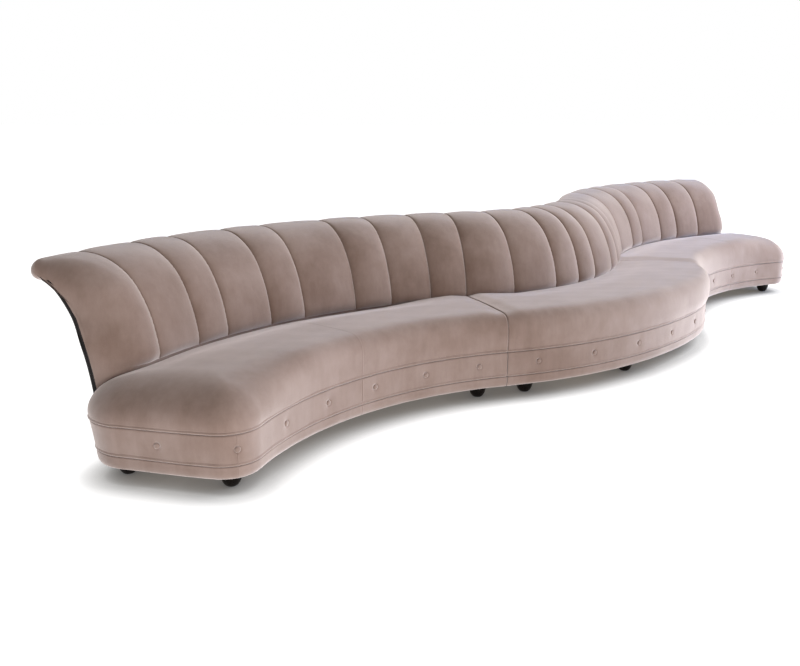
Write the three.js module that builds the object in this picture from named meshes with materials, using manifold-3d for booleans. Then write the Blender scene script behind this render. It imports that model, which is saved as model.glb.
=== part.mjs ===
import * as THREE from "three";
import { mergeVertices } from "three/addons/utils/BufferGeometryUtils.js";
import Module from "manifold-3d";

// A curved sofa of three upholstered modules that share two radii: a concave module, a convex one
// and a concave one. Lengths are millimetres, Z is up, the sitter looks towards -Y.
// A place on a module is (a, d, z): the angle along it from its seam, the depth behind the front
// edge and the height.

const wasm = await Module();
wasm.setup();
const degrees = THREE.MathUtils.degToRad;

// Plan of the modules
const FRONT_RADIUS = 1665;
const SEAT_DEPTH = 575;
const BACK_BASE_DEPTH = 160;
const SEAM_ANGLE = degrees(60);
const END_ANGLE = degrees(60.85);
const FRONT_CORNER_RADIUS = 155;
const REAR_CORNER_RADIUS = 190;
const MODULE_GAP = 0.8;

// Heights of the layers, from the floor up
const FOOT_HEIGHT = 75;
const BASE_BAND_HEIGHT = 59;
const BUTTON_BAND_HEIGHT = 128;
const SEAT_PAD_HEIGHT = 168;
const SEAT_CROWN = 38;
const REAR_CORNER_DROP = 40;
const BACK_RISE = 434;

// Clearances between pieces that touch: flat faces, curved faces of unlike facets, and the seat
// cushion against the channels of the back
const FLAT_GAP = 0.3;
const CURVED_GAP = 0.8;
const SEAT_BACK_GAP = 3;

// Padded bands round the base, with their piping and buttons
const BAND_THICKNESS = 30;
const PIPING_RADIUS = 3.5;
const BASE_TUCK = 25;
const BASE_ROUND = 26;
const BUTTON_RADIUS = 12;
const BUTTON_HEIGHT = 5;
const BUTTON_SINK = 4;
const END_BUTTON_PITCH = 312;
const MIDDLE_BUTTON_PITCH = 360;
const END_FACE_BUTTON_DEPTH = 343;

// Seat cushion's edges: drawn in at the front, tight against the back, eased at a seam
const SEAT_EDGE_INSET = 150;
const SEAT_SEAM_EASE = 8;

// Channelled back cushion with its rolled top
const BACK_LEAN = 337;
const BACK_PAD_THICKNESS = 50;
const BACK_END_ZONE = 190;
const ROLL_RADIUS = 43;
const ROLL_REACH = 30;
const CHANNEL_CREST = 22;
const ROLL_CREST = 6;

// Lacquered shell behind the back
const SHELL_THICKNESS = 22;
const SHELL_FOOT_TUCK = 12;
const SHELL_TOP_TUCK = 2;

// Frame
const PANEL_THICKNESS = 12;
const RAIL_THICKNESS = 25;
const BACK_RAIL_INSET = 12;
const CROSS_RAIL_GAP = 3;
const RIB_THICKNESS = 24;
const TOP_RAIL_WIDTH = 110;
const TOP_RAIL_HEIGHT = 40;
const TOP_RAIL_SLACK = 3;
const CONNECTOR_LENGTH = 220;
const CONNECTOR_WIDTH = 90;
const CONNECTOR_THICKNESS = 4;

// Turned feet
const FOOT_INSET = 135;
const FOOT_TOP_RADIUS = 47;
const FOOT_BOTTOM_RADIUS = 23;
const FOOT_COLLAR = 16;

// Shares along the back where the channels are sewn, along the seat where the feet stand, and
// along the back's frame where the ribs stand
const LEFT_CHANNEL_SHARES = [0, 0.098, 0.209, 0.311, 0.459, 0.556, 0.686, 0.774, 0.898, 1];
const MIDDLE_CHANNEL_SHARES = [0, 0.19, 0.365, 0.492, 0.607, 0.785, 0.892, 1];
const RIGHT_CHANNEL_SHARES = [0, 0.182, 0.354, 0.449, 0.601, 0.705, 0.832, 1];
const END_FOOT_SHARES = [0.062, 1];
const MIDDLE_FRONT_FOOT_SHARES = [0.075, 0.416, 0.717, 0.925];
const MIDDLE_REAR_FOOT_SHARES = [0.075, 0.925];

// A foot's rounded side, as shares of its spread in radius and of its height below the collar
const FOOT_SIDE_SHARES = [[0.5, 0.18], [0.86, 0.52]];
const END_RIB_STEPS = [1, 7, 13];
const MIDDLE_RIB_STEPS = [3, 11];

// How finely curves are cut
const ARC_STEPS = 14;
const CORNER_STEPS = 5;
const END_ZONE_STEPS = 6;
const FOOT_SIDES = 12;
const BUTTON_SIDES = 8;

// Derived sizes that several pieces share
const BACK_RADIUS = FRONT_RADIUS + SEAT_DEPTH;
const BASE_DEPTH = SEAT_DEPTH + BACK_BASE_DEPTH;
const bandSplit = FOOT_HEIGHT + BASE_BAND_HEIGHT;
const seatBottom = bandSplit + BUTTON_BAND_HEIGHT;
const seatJunction = seatBottom + SEAT_PAD_HEIGHT;
const backTop = seatJunction + BACK_RISE;
const rollCentre = new THREE.Vector2(BACK_LEAN + ROLL_REACH, backTop - ROLL_RADIUS);
const rollUnderside = rollCentre.y - ROLL_RADIUS;
const rearCornerCentre = FRONT_RADIUS + BASE_DEPTH - REAR_CORNER_RADIUS;
const BACK_END_ANGLE = END_ANGLE - Math.asin(REAR_CORNER_RADIUS / rearCornerCentre);
const frontCornerCentre = FRONT_RADIUS + FRONT_CORNER_RADIUS;
const frontCornerAngle = END_ANGLE - Math.asin(FRONT_CORNER_RADIUS / frontCornerCentre);
const gapAngle = MODULE_GAP / 2 / FRONT_RADIUS;

const velvet = { color: 0xa5948a, roughness: 0.85, metalness: 0 };
const lacquer = { color: 0x15110f, roughness: 0.25, metalness: 0 };
const timber = { color: 0xb9966a, roughness: 0.7, metalness: 0 };
const board = { color: 0x8f7a5c, roughness: 0.8, metalness: 0 };
const steel = { color: 0x8a8d90, roughness: 0.45, metalness: 0.9 };

const sofa = new THREE.Group();
sofa.name = "curved_sofa";

function addMesh(name, geometry, finish) {
  const mesh = new THREE.Mesh(geometry, new THREE.MeshStandardMaterial(finish));
  mesh.name = name;
  sofa.add(mesh);
  return mesh;
}

// The three modules. turn is the sense in which the angle grows, seen from above.
const spread = (FRONT_RADIUS + BACK_RADIUS) * Math.sin(SEAM_ANGLE / 2);
const endCentreY = BACK_RADIUS - (FRONT_RADIUS + BACK_RADIUS) * Math.cos(SEAM_ANGLE / 2);
const modules = [
  {
    name: "left", isEnd: true, centre: new THREE.Vector2(-spread, endCentreY),
    start: Math.PI / 2 - SEAM_ANGLE / 2, turn: 1, channelShares: LEFT_CHANNEL_SHARES,
  },
  {
    name: "middle", isEnd: false, centre: new THREE.Vector2(0, BACK_RADIUS),
    start: -Math.PI / 2 - SEAM_ANGLE / 2, turn: 1, channelShares: MIDDLE_CHANNEL_SHARES,
  },
  {
    name: "right", isEnd: true, centre: new THREE.Vector2(spread, endCentreY),
    start: Math.PI / 2 + SEAM_ANGLE / 2, turn: -1, channelShares: RIGHT_CHANNEL_SHARES,
  },
];

function radiusAt(module, d) {
  return module.isEnd ? FRONT_RADIUS + d : BACK_RADIUS - d;
}

function place(module, a, d, z) {
  const angle = module.start + module.turn * a;
  const radius = radiusAt(module, d);
  const { x, y } = module.centre;
  return new THREE.Vector3(x + radius * Math.cos(angle), y + radius * Math.sin(angle), z);
}

function depthDirection(module, a) {
  const angle = module.start + module.turn * a;
  const sign = module.isEnd ? 1 : -1;
  return new THREE.Vector3(sign * Math.cos(angle), sign * Math.sin(angle), 0);
}

// Closed solid through rings of equal count, with a cap at each end
function loft(rings, firstFlat, lastFlat) {
  const count = rings[0].length;
  const positions = rings.flat().flatMap((p) => [p.x, p.y, p.z]);
  const index = [];
  for (let k = 0; k + 1 < rings.length; k++) {
    for (let j = 0; j < count; j++) {
      const next = (j + 1) % count;
      const [a, b] = [k * count + j, k * count + next];
      index.push(a, a + count, b, b, a + count, b + count);
    }
  }
  index.push(...capFaces(firstFlat, 0, false));
  index.push(...capFaces(lastFlat, (rings.length - 1) * count, true));
  const geometry = new THREE.BufferGeometry();
  geometry.setAttribute("position", new THREE.Float32BufferAttribute(positions, 3));
  geometry.setIndex(signedVolume(positions, index) < 0 ? flipped(index) : index);
  return geometry;
}

function capFaces(flat, offset, reverse) {
  const contourSign = Math.sign(THREE.ShapeUtils.area(flat));
  const faces = THREE.ShapeUtils.triangulateShape(flat, []);
  return faces.flatMap(([a, b, c]) => {
    const faceSign = Math.sign(THREE.ShapeUtils.area([flat[a], flat[b], flat[c]]));
    const keep = (faceSign === contourSign) !== reverse;
    return keep ? [offset + a, offset + b, offset + c] : [offset + a, offset + c, offset + b];
  });
}

function signedVolume(positions, index) {
  const corner = (i) => new THREE.Vector3().fromArray(positions, 3 * i);
  let volume = 0;
  for (let i = 0; i < index.length; i += 3) {
    const [a, b, c] = [corner(index[i]), corner(index[i + 1]), corner(index[i + 2])];
    volume += a.dot(b.cross(c));
  }
  return volume;
}

function flipped(index) {
  const faces = [];
  for (let i = 0; i < index.length; i += 3) {
    faces.push(index[i], index[i + 2], index[i + 1]);
  }
  return faces;
}

function toManifold(geometry) {
  const bare = new THREE.BufferGeometry();
  bare.setAttribute("position", geometry.getAttribute("position").clone());
  if (geometry.index) bare.setIndex(geometry.index.clone());
  const merged = mergeVertices(bare);
  const vertProperties = new Float32Array(merged.getAttribute("position").array);
  const triVerts = new Uint32Array(merged.index.array);
  return new wasm.Manifold(new wasm.Mesh({ numProp: 3, vertProperties, triVerts }));
}

function fromManifold(solid) {
  const mesh = solid.getMesh();
  const geometry = new THREE.BufferGeometry();
  geometry.setAttribute("position", new THREE.Float32BufferAttribute(mesh.vertProperties, 3));
  geometry.setIndex(Array.from(mesh.triVerts));
  return geometry;
}

// Plan lines of a module
function steps(from, to, count) {
  return Array.from({ length: count + 1 }, (_, i) => from + ((to - from) * i) / count);
}

function roundCorner(centreRadius, centreAngle, radius, from, to) {
  return steps(from, to, CORNER_STEPS).map((turn) => {
    const along = centreRadius + radius * Math.cos(turn);
    const across = radius * Math.sin(turn);
    const d = Math.hypot(along, across) - FRONT_RADIUS;
    return [centreAngle + Math.atan2(across, along), d];
  });
}

// Depth at which a corner runs into the straight line of the free end
function endLineDepth(centreRadius, cornerRadius) {
  return Math.sqrt(centreRadius ** 2 - cornerRadius ** 2) - FRONT_RADIUS;
}

// The open outer edge, inset: along the front from the seam, and round an end module's free end
function outerEdge(module, inset, seamEase = 0) {
  const ease = gapAngle + seamEase / FRONT_RADIUS;
  if (!module.isEnd) {
    const angles = steps(gapAngle, SEAM_ANGLE - gapAngle, ARC_STEPS);
    angles[0] = ease;
    angles[ARC_STEPS] = SEAM_ANGLE - ease;
    return angles.map((a) => [a, inset]);
  }
  const front = steps(gapAngle, frontCornerAngle, ARC_STEPS).slice(0, -1).map((a) => [a, inset]);
  front[0][0] = ease;
  const square = Math.PI / 2 + END_ANGLE;
  const frontCorner = roundCorner(
    frontCornerCentre, frontCornerAngle, FRONT_CORNER_RADIUS - inset,
    Math.PI, square - frontCornerAngle);
  const rearCorner = roundCorner(
    rearCornerCentre, BACK_END_ANGLE, REAR_CORNER_RADIUS - inset, square - BACK_END_ANGLE, 0);
  return [...front, ...frontCorner, ...rearCorner];
}

// Angles along the back, finer in the zone where an end module's back is rounded off
const endZoneAngle = BACK_END_ZONE / BACK_RADIUS;
function backAngles(module) {
  if (!module.isEnd) return steps(gapAngle, SEAM_ANGLE - gapAngle, ARC_STEPS);
  return [
    ...steps(gapAngle, BACK_END_ANGLE - endZoneAngle, ARC_STEPS),
    ...endZoneAngles().slice(1),
  ];
}

function endZoneAngles() {
  const shares = steps(0, 1, END_ZONE_STEPS).map((t) => 1 - (1 - t) ** 2);
  return shares.map((t) => BACK_END_ANGLE - (1 - t) * endZoneAngle - t * gapAngle);
}

// Side profiles of the back, as (depth behind the back's foot, height)
function bezier(from, fromHandle, toHandle, to) {
  return new THREE.CubicBezierCurve(from, fromHandle, toHandle, to);
}

const VALLEY_HANDLE_SHARES = [-0.044, 0.11];
const valleyCurve = bezier(
  new THREE.Vector2(0, seatJunction),
  new THREE.Vector2(VALLEY_HANDLE_SHARES[0] * BACK_LEAN, seatJunction),
  new THREE.Vector2(VALLEY_HANDLE_SHARES[1] * BACK_LEAN, backTop),
  new THREE.Vector2(BACK_LEAN, backTop));

const shellFoot = new THREE.Vector2(BACK_BASE_DEPTH - SHELL_FOOT_TUCK, FOOT_HEIGHT);
const shellTop = new THREE.Vector2(rollCentre.x - SHELL_TOP_TUCK, rollUnderside - FLAT_GAP);
const SHELL_HANDLE_SHARES = [[0.024, 0.32], [0.217, 0.849]];
const shellHandles = SHELL_HANDLE_SHARES.map(([e, z]) => new THREE.Vector2(
  THREE.MathUtils.lerp(shellFoot.x, shellTop.x, e),
  THREE.MathUtils.lerp(shellFoot.y, shellTop.y, z)));
const shellCurve = bezier(shellFoot, ...shellHandles, shellTop);

// A point of a profile moved square to it, towards the rear when distance is positive
function besideCurve(curve, t, distance) {
  const tangent = curve.getTangent(t);
  const p = curve.getPoint(t);
  return new THREE.Vector2(p.x + tangent.y * distance, p.y - tangent.x * distance);
}

// The share of a rising curve at which it reaches a height, found by halving
const HALVINGS = 30;
function heightOnCurve(curve, z) {
  let [low, high] = [0, 1];
  for (let i = 0; i < HALVINGS; i++) {
    const middle = (low + high) / 2;
    const isBelow = curve.getPoint(middle).y < z;
    low = isBelow ? middle : low;
    high = isBelow ? high : middle;
  }
  return low;
}

// The shell's inner side as a line of flat facets, which the ribs and the cushion's end follow
const SHELL_INNER_STEPS = 7;
const innerHeights = [FOOT_HEIGHT, ...steps(seatBottom, shellTop.y, SHELL_INNER_STEPS)];
const innerLine = innerHeights.map((z) => {
  const t = heightOnCurve(shellCurve, z);
  const e = shellCurve.getPoint(t).x - SHELL_THICKNESS / shellCurve.getTangent(t).y;
  return new THREE.Vector2(e, z);
});

function shellInner(z, gap) {
  const upper = innerLine.slice(1).find((p) => p.y >= z) ?? innerLine.at(-1);
  const lower = innerLine[innerLine.indexOf(upper) - 1];
  const e = THREE.MathUtils.mapLinear(z, lower.y, upper.y, lower.x, upper.x);
  return e - gap;
}

// Front of the back cushion: below the seat it is upright, above it follows the valley curve.
// Each front point has a partner on the shell's inner side, towards which the free end rounds off.
const FRONT_SHARES = [0.14, 0.28, 0.42, 0.57, 0.72, 0.86, 1];
const PARTNER_HEIGHT_SHARES = [0.15, 0.33, 0.52, 0.68, 0.81, 0.92, 1];
const CREST_SHARES = [0.25, 0.9, 1, 1, 0.9, 0.6, 0.3];
const ROLL_ANGLES = [90, 50, 15, -20, -55, -90].map(degrees);
const INNER_SHARES = [0.6, 0.36, 0.12];

const lowerFront = [seatBottom, seatJunction].map((z) => ({
  point: new THREE.Vector2(0, z),
  out: new THREE.Vector2(-1, 0),
  crest: 0,
  partner: new THREE.Vector2(shellInner(z, CURVED_GAP), z),
}));
const upperFront = FRONT_SHARES.map((t, i) => {
  const z = THREE.MathUtils.lerp(seatJunction, rollUnderside, PARTNER_HEIGHT_SHARES[i]);
  const tangent = valleyCurve.getTangent(t);
  return {
    point: valleyCurve.getPoint(t),
    out: new THREE.Vector2(-tangent.y, tangent.x),
    crest: CREST_SHARES[i] * CHANNEL_CREST,
    partner: new THREE.Vector2(shellInner(z, CURVED_GAP), z),
  };
});
const rollFront = ROLL_ANGLES.map((turn) => {
  const out = new THREE.Vector2(Math.cos(turn), Math.sin(turn));
  return {
    point: rollCentre.clone().addScaledVector(out, ROLL_RADIUS),
    out,
    crest: Math.max(0, Math.sin(turn)) * ROLL_CREST,
    partner: rollCentre,
  };
});
const backFront = [...lowerFront, ...upperFront, ...rollFront];

// How far a point has rounded off at distance x from the free end, for its own rounding radius
function endRounding(x, radius) {
  if (x >= radius) return 1;
  return Math.sqrt(1 - (1 - x / radius) ** 2);
}

function frontPoint(item, x, crest) {
  const crested = item.point.clone().addScaledVector(item.out, item.crest * crest);
  const radius = item.point.distanceTo(item.partner);
  return item.partner.clone().lerp(crested, endRounding(x, radius));
}

// Rear side of the cushion: a pocket for the top rail and a sheet of even thickness, and in the
// rounded end the inner face of the shell
const pocketRear = innerLine.at(-1).x - CURVED_GAP;
const pocketFront = pocketRear - TOP_RAIL_WIDTH - 2 * TOP_RAIL_SLACK;
const pocketTop = rollUnderside + TOP_RAIL_HEIGHT + FLAT_GAP;
const sheetRear = [
  new THREE.Vector2(pocketRear, rollUnderside),
  new THREE.Vector2(pocketRear, pocketTop),
  new THREE.Vector2(pocketFront, pocketTop),
  new THREE.Vector2(pocketFront, rollUnderside),
  ...INNER_SHARES.map((t) => besideCurve(valleyCurve, t, BACK_PAD_THICKNESS)),
  new THREE.Vector2(BACK_PAD_THICKNESS, seatBottom),
];
const solidRear = innerLine.slice(1).reverse().map((p, i) => (
  new THREE.Vector2(p.x - CURVED_GAP, i === 0 ? rollUnderside : p.y)));

function backSection(x, crest, isSolid) {
  return [...backFront.map((item) => frontPoint(item, x, crest)), ...(isSolid ? solidRear : sheetRear)];
}

// Angles and crest heights along a back: sewn valleys with a rounded crest between them
const CREST_PLACE_SHARES = [0, 0.16, 0.5, 0.84];
const crestAt = (t) => Math.sqrt(Math.max(0, 1 - (2 * t - 1) ** 2));
function channelStations(module) {
  const last = module.isEnd ? BACK_END_ANGLE : SEAM_ANGLE - gapAngle;
  const zoneStart = module.isEnd ? BACK_END_ANGLE - endZoneAngle : Infinity;
  const seams = module.channelShares.map((share) => gapAngle + share * (last - gapAngle));
  const stations = [];
  for (let i = 0; i + 1 < seams.length; i++) {
    const isEndChannel = module.isEnd && i + 2 === seams.length;
    for (const share of CREST_PLACE_SHARES) {
      const a = seams[i] + share * (seams[i + 1] - seams[i]);
      const t = isEndChannel ? Math.min(0.5, share) : share;
      if (a < zoneStart) {
        stations.push({ a, crest: crestAt(t), isSolid: false });
      }
    }
  }
  if (!module.isEnd) return [...stations, { a: last, crest: 0, isSolid: false }];
  const [lastSeam] = seams.slice(-2);
  const zone = endZoneAngles();
  const crestIn = (a) => crestAt(Math.min(0.5, Math.max(0, (a - lastSeam) / (last - lastSeam))));
  const beforeZone = { a: zone[0], crest: crestIn(zone[0]), isSolid: false };
  const wall = { a: zone[0] + gapAngle, crest: crestIn(zone[0]), isSolid: true };
  const rest = zone.slice(1).map((a) => ({ a, crest: crestIn(a), isSolid: true }));
  return [...stations, beforeZone, wall, ...rest];
}

function sweep(module, stations, sectionAt) {
  const sections = stations.map(sectionAt);
  const rings = stations.map((station, i) => (
    sections[i].map((p) => place(module, station.a ?? station, SEAT_DEPTH + p.x, p.y))));
  return loft(rings, sections[0], sections.at(-1));
}

function backCushion(module) {
  return sweep(module, channelStations(module), ({ a, crest, isSolid }) => {
    const x = module.isEnd ? (BACK_END_ANGLE - a) * BACK_RADIUS : Infinity;
    return backSection(x, crest, isSolid);
  });
}

const SHELL_PLACE_SHARES = [0, 0.2, 0.4, 0.6, 0.8, 1];
function backShell(module) {
  const outer = SHELL_PLACE_SHARES.map((t) => shellCurve.getPoint(t));
  const section = [...outer, ...[...innerLine].reverse()];
  return sweep(module, backAngles(module), () => section);
}

// Seat cushion: horizontal rings that rise and draw in, capped by the crowned top. Each edge has
// its own insets and rises; the rises are shares of the edge's height.
const SEAT_EDGES = {
  front: {
    insetShares: [0, 0.02, 0.087, 0.26, 0.507, 1],
    riseShares: [0, 0.55, 0.8, 0.92, 0.985, 1],
    height: SEAT_PAD_HEIGHT + SEAT_CROWN,
  },
  rearCorner: {
    insetShares: [0, 0.02, 0.087, 0.26, 0.507, 1],
    riseShares: [0, 0.5, 0.62, 0.71, 0.85, 1],
    height: SEAT_PAD_HEIGHT + SEAT_CROWN - REAR_CORNER_DROP,
  },
  back: {
    insetShares: [0, 0, 0.01, 0.05, 0.2, 1],
    riseShares: [0, 0.7, 0.82, 0.87, 0.925, 1],
    height: SEAT_PAD_HEIGHT + SEAT_CROWN,
  },
};
const SEAM_EASE_SHARES = [0, 0, 0, 0.3, 1, 1.3];

function edgeRing(edge, k) {
  return {
    inset: edge.insetShares[k] * SEAT_EDGE_INSET,
    z: seatBottom + FLAT_GAP + edge.riseShares[k] * (edge.height - FLAT_GAP),
  };
}

function seatRing(module, k) {
  const front = edgeRing(SEAT_EDGES.front, k);
  const corner = edgeRing(SEAT_EDGES.rearCorner, k);
  const back = edgeRing(SEAT_EDGES.back, k);
  const ease = SEAM_EASE_SHARES[k] * SEAT_SEAM_EASE;
  const edge = outerEdge(module, front.inset, ease);
  const cornerStart = edge.length - CORNER_STEPS - 1;
  const ring = edge.map(([a, d], i) => {
    const isRear = module.isEnd && i >= cornerStart;
    return place(module, a, d, isRear ? corner.z : front.z);
  });
  const rear = backAngles(module).reverse();
  const thin = rear.filter((a) => !module.isEnd || a <= BACK_END_ANGLE - endZoneAngle);
  if (module.isEnd) ring.push(...notchPoints(module, k, back, corner));
  thin.forEach((a, i) => {
    const isSeam = i === thin.length - 1 || (!module.isEnd && i === 0);
    const sign = i === 0 ? -1 : 1;
    const eased = isSeam ? a + (sign * ease) / FRONT_RADIUS : a;
    ring.push(place(module, eased, SEAT_DEPTH - SEAT_BACK_GAP - back.inset, back.z));
  });
  return ring;
}

// Where the back's rounded end stands, the seat runs on round it to the rear corner
function notchPoints(module, k, back, corner) {
  const angles = endZoneAngles().slice(1).reverse();
  return angles.map((a, i) => {
    const x = (BACK_END_ANGLE - a) * BACK_RADIUS;
    const z = THREE.MathUtils.lerp(corner.z, back.z, x / BACK_END_ZONE);
    const reach = shellInner(Math.min(z, seatJunction), CURVED_GAP);
    const e = reach * (1 - endRounding(x, reach));
    const d = SEAT_DEPTH + e - SEAT_BACK_GAP - back.inset;
    return place(module, i === 0 ? BACK_END_ANGLE : a, d, z);
  });
}

function seatCushion(module) {
  const rings = SEAM_EASE_SHARES.map((_, k) => seatRing(module, k));
  const flat = (ring) => ring.map((p) => new THREE.Vector2(p.x, p.y));
  return loft(rings, flat(rings[0]), flat(rings.at(-1)));
}

// Bands: a section of (inset, height) that follows the outer edge
function pipedTop(top) {
  const bead = PIPING_RADIUS;
  return [
    [0, top - 2 * bead],
    [-bead, top - 1.5 * bead],
    [-bead, top - 0.5 * bead],
    [0, top],
    [BAND_THICKNESS, top],
  ];
}

function bandSolid(module, section) {
  const lines = section.map(([inset, z]) => outerEdge(module, inset).map(([a, d]) => (
    place(module, a, d, z))));
  const rings = lines[0].map((_, i) => lines.map((line) => line[i]));
  const flat = section.map(([inset, z]) => new THREE.Vector2(inset, z));
  return loft(rings, flat, flat);
}

function baseBand(module) {
  return bandSolid(module, [
    [BAND_THICKNESS, FOOT_HEIGHT],
    [BASE_TUCK, FOOT_HEIGHT],
    [BASE_TUCK / 2, FOOT_HEIGHT + BASE_ROUND / 4],
    [BASE_TUCK / 6, FOOT_HEIGHT + BASE_ROUND],
    ...pipedTop(bandSplit - FLAT_GAP),
  ]);
}

function buttonGeometry() {
  const profile = [
    new THREE.Vector2(0, -BUTTON_SINK),
    new THREE.Vector2(BUTTON_RADIUS, -BUTTON_SINK),
    new THREE.Vector2(BUTTON_RADIUS, BUTTON_HEIGHT / 2),
    new THREE.Vector2(BUTTON_RADIUS / 2, BUTTON_HEIGHT),
    new THREE.Vector2(0, BUTTON_HEIGHT),
  ];
  return new THREE.LatheGeometry(profile, BUTTON_SIDES);
}

// Places of the buttons on the outer edge, each with the direction that it faces
const CORNER_BUTTON_TURN_SHARE = 0.72;
function buttonPlaces(module) {
  const radius = radiusAt(module, 0);
  const pitch = (module.isEnd ? END_BUTTON_PITCH : MIDDLE_BUTTON_PITCH) / radius;
  const run = module.isEnd ? frontCornerAngle : SEAM_ANGLE;
  const places = [];
  for (let a = pitch / 2; a < run - pitch / 4; a += pitch) {
    places.push({ at: place(module, a, 0, 0), out: depthDirection(module, a).negate() });
  }
  if (!module.isEnd) return places;
  const [a, d] = roundCorner(
    frontCornerCentre, frontCornerAngle, FRONT_CORNER_RADIUS,
    Math.PI * CORNER_BUTTON_TURN_SHARE, 0)[0];
  const cornerAt = place(module, a, d, 0);
  const cornerMiddle = place(module, frontCornerAngle, FRONT_CORNER_RADIUS, 0);
  places.push({ at: cornerAt, out: cornerAt.clone().sub(cornerMiddle).normalize() });
  const endAt = place(module, END_ANGLE, END_FACE_BUTTON_DEPTH, 0);
  const endOut = depthDirection(module, END_ANGLE);
  endOut.applyAxisAngle(new THREE.Vector3(0, 0, 1), (module.turn * Math.PI) / 2);
  places.push({ at: endAt, out: endOut });
  return places;
}

function buttonBand(module) {
  const top = seatBottom - FLAT_GAP;
  let solid = toManifold(bandSolid(module, [
    [BAND_THICKNESS, bandSplit],
    [0, bandSplit],
    ...pipedTop(top),
  ]));
  const middle = (bandSplit + top) / 2;
  for (const { at, out } of buttonPlaces(module)) {
    const button = buttonGeometry();
    button.applyQuaternion(new THREE.Quaternion().setFromUnitVectors(new THREE.Vector3(0, 1, 0), out));
    button.translate(at.x, at.y, middle);
    solid = solid.add(toManifold(button));
  }
  return fromManifold(solid);
}

// Flat boards cut to a plan outline
function plate(points, bottom, thickness) {
  const shape = new THREE.Shape(points.map((p) => new THREE.Vector2(p.x, p.y)));
  const geometry = new THREE.ExtrudeGeometry(shape, { depth: thickness, bevelEnabled: false });
  geometry.translate(0, 0, bottom);
  return geometry;
}

function floorOutline(module) {
  const rearDepth = SEAT_DEPTH + shellInner(FOOT_HEIGHT, CURVED_GAP);
  const edge = outerEdge(module, BAND_THICKNESS + FLAT_GAP);
  const rear = backAngles(module).reverse();
  return [
    ...edge.map(([a, d]) => place(module, a, d, 0)),
    ...rear.map((a) => place(module, a, rearDepth, 0)),
  ];
}

function arcOutline(module, angles, front, rear) {
  return [
    ...angles.map((a) => place(module, a, front, 0)),
    ...[...angles].reverse().map((a) => place(module, a, rear, 0)),
  ];
}

const panelTop = FOOT_HEIGHT + FLAT_GAP + PANEL_THICKNESS;
const deckBottom = seatBottom - PANEL_THICKNESS;
const railBottom = panelTop + FLAT_GAP;
const railHeight = deckBottom - FLAT_GAP - railBottom;
const railFront = BAND_THICKNESS + FLAT_GAP;
const backRailRear = SEAT_DEPTH + shellInner(FOOT_HEIGHT, CURVED_GAP) - BACK_RAIL_INSET;
const backRailFront = backRailRear - RAIL_THICKNESS;

function frontRail(module) {
  const angles = outerEdge(module, 0).slice(0, ARC_STEPS + (module.isEnd ? 0 : 1)).map(([a]) => a);
  return plate(
    arcOutline(module, angles, railFront, railFront + RAIL_THICKNESS), railBottom, railHeight);
}

function backRail(module) {
  return plate(
    arcOutline(module, backAngles(module), backRailFront, backRailRear), railBottom, railHeight);
}

// A cross rail runs from front to back between the two curved rails, near one end of the module
function crossRail(module, name, a, sideways, front, rear) {
  const rail = new THREE.BoxGeometry(rear - front, RAIL_THICKNESS, railHeight);
  const mesh = addMesh(name, rail, timber);
  const out = depthDirection(module, a);
  mesh.rotation.z = Math.atan2(out.y, out.x);
  const middle = place(module, a, (front + rear) / 2, railBottom + railHeight / 2);
  const along = out.clone().applyAxisAngle(new THREE.Vector3(0, 0, 1), (sideways * Math.PI) / 2);
  mesh.position.copy(middle.addScaledVector(along, RAIL_THICKNESS / 2 + railFront));
}

function topRail(module) {
  const angles = module.isEnd ? backAngles(module).slice(0, ARC_STEPS + 1) : backAngles(module);
  const front = SEAT_DEPTH + pocketFront + TOP_RAIL_SLACK;
  return plate(
    arcOutline(module, angles, front, front + TOP_RAIL_WIDTH), rollUnderside, TOP_RAIL_HEIGHT);
}

// Ribs stand on the deck between the cushion and the shell and carry the top rail
function ribShape() {
  const top = rollUnderside - FLAT_GAP;
  const front = INNER_SHARES.map((t) => besideCurve(valleyCurve, t, BACK_PAD_THICKNESS + CURVED_GAP));
  return new THREE.Shape([
    new THREE.Vector2(BACK_PAD_THICKNESS + CURVED_GAP, seatBottom),
    ...front.reverse(),
    new THREE.Vector2(pocketFront, top),
    ...innerLine.slice(1).reverse().map((p) => new THREE.Vector2(p.x - CURVED_GAP, p.y)),
  ]);
}

function addRib(module, name, a) {
  const geometry = new THREE.ExtrudeGeometry(
    ribShape(), { depth: RIB_THICKNESS, bevelEnabled: false });
  geometry.translate(0, 0, -RIB_THICKNESS / 2);
  const mesh = addMesh(name, geometry, board);
  const out = depthDirection(module, a);
  const up = new THREE.Vector3(0, 0, 1);
  const basis = new THREE.Matrix4().makeBasis(out, up, out.clone().cross(up));
  mesh.quaternion.setFromRotationMatrix(basis);
  mesh.position.copy(place(module, a, SEAT_DEPTH, 0));
}

function footGeometry() {
  const profile = [
    new THREE.Vector2(0, 0),
    new THREE.Vector2(FOOT_BOTTOM_RADIUS, 0),
    ...FOOT_SIDE_SHARES.map(([spreadShare, heightShare]) => new THREE.Vector2(
      FOOT_BOTTOM_RADIUS + spreadShare * (FOOT_TOP_RADIUS - FOOT_BOTTOM_RADIUS),
      heightShare * (FOOT_HEIGHT - FOOT_COLLAR))),
    new THREE.Vector2(FOOT_TOP_RADIUS, FOOT_HEIGHT - FOOT_COLLAR),
    new THREE.Vector2(FOOT_TOP_RADIUS, FOOT_HEIGHT),
    new THREE.Vector2(0, FOOT_HEIGHT),
  ];
  const geometry = new THREE.LatheGeometry(profile, FOOT_SIDES);
  geometry.rotateX(Math.PI / 2);
  return geometry;
}

function addFeet(module, row, shares, span, d) {
  shares.forEach((share, i) => {
    const foot = addMesh(`${module.name}_${row}_foot_${i + 1}`, footGeometry(), lacquer);
    foot.position.copy(place(module, share * span, d, 0));
  });
}

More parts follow.
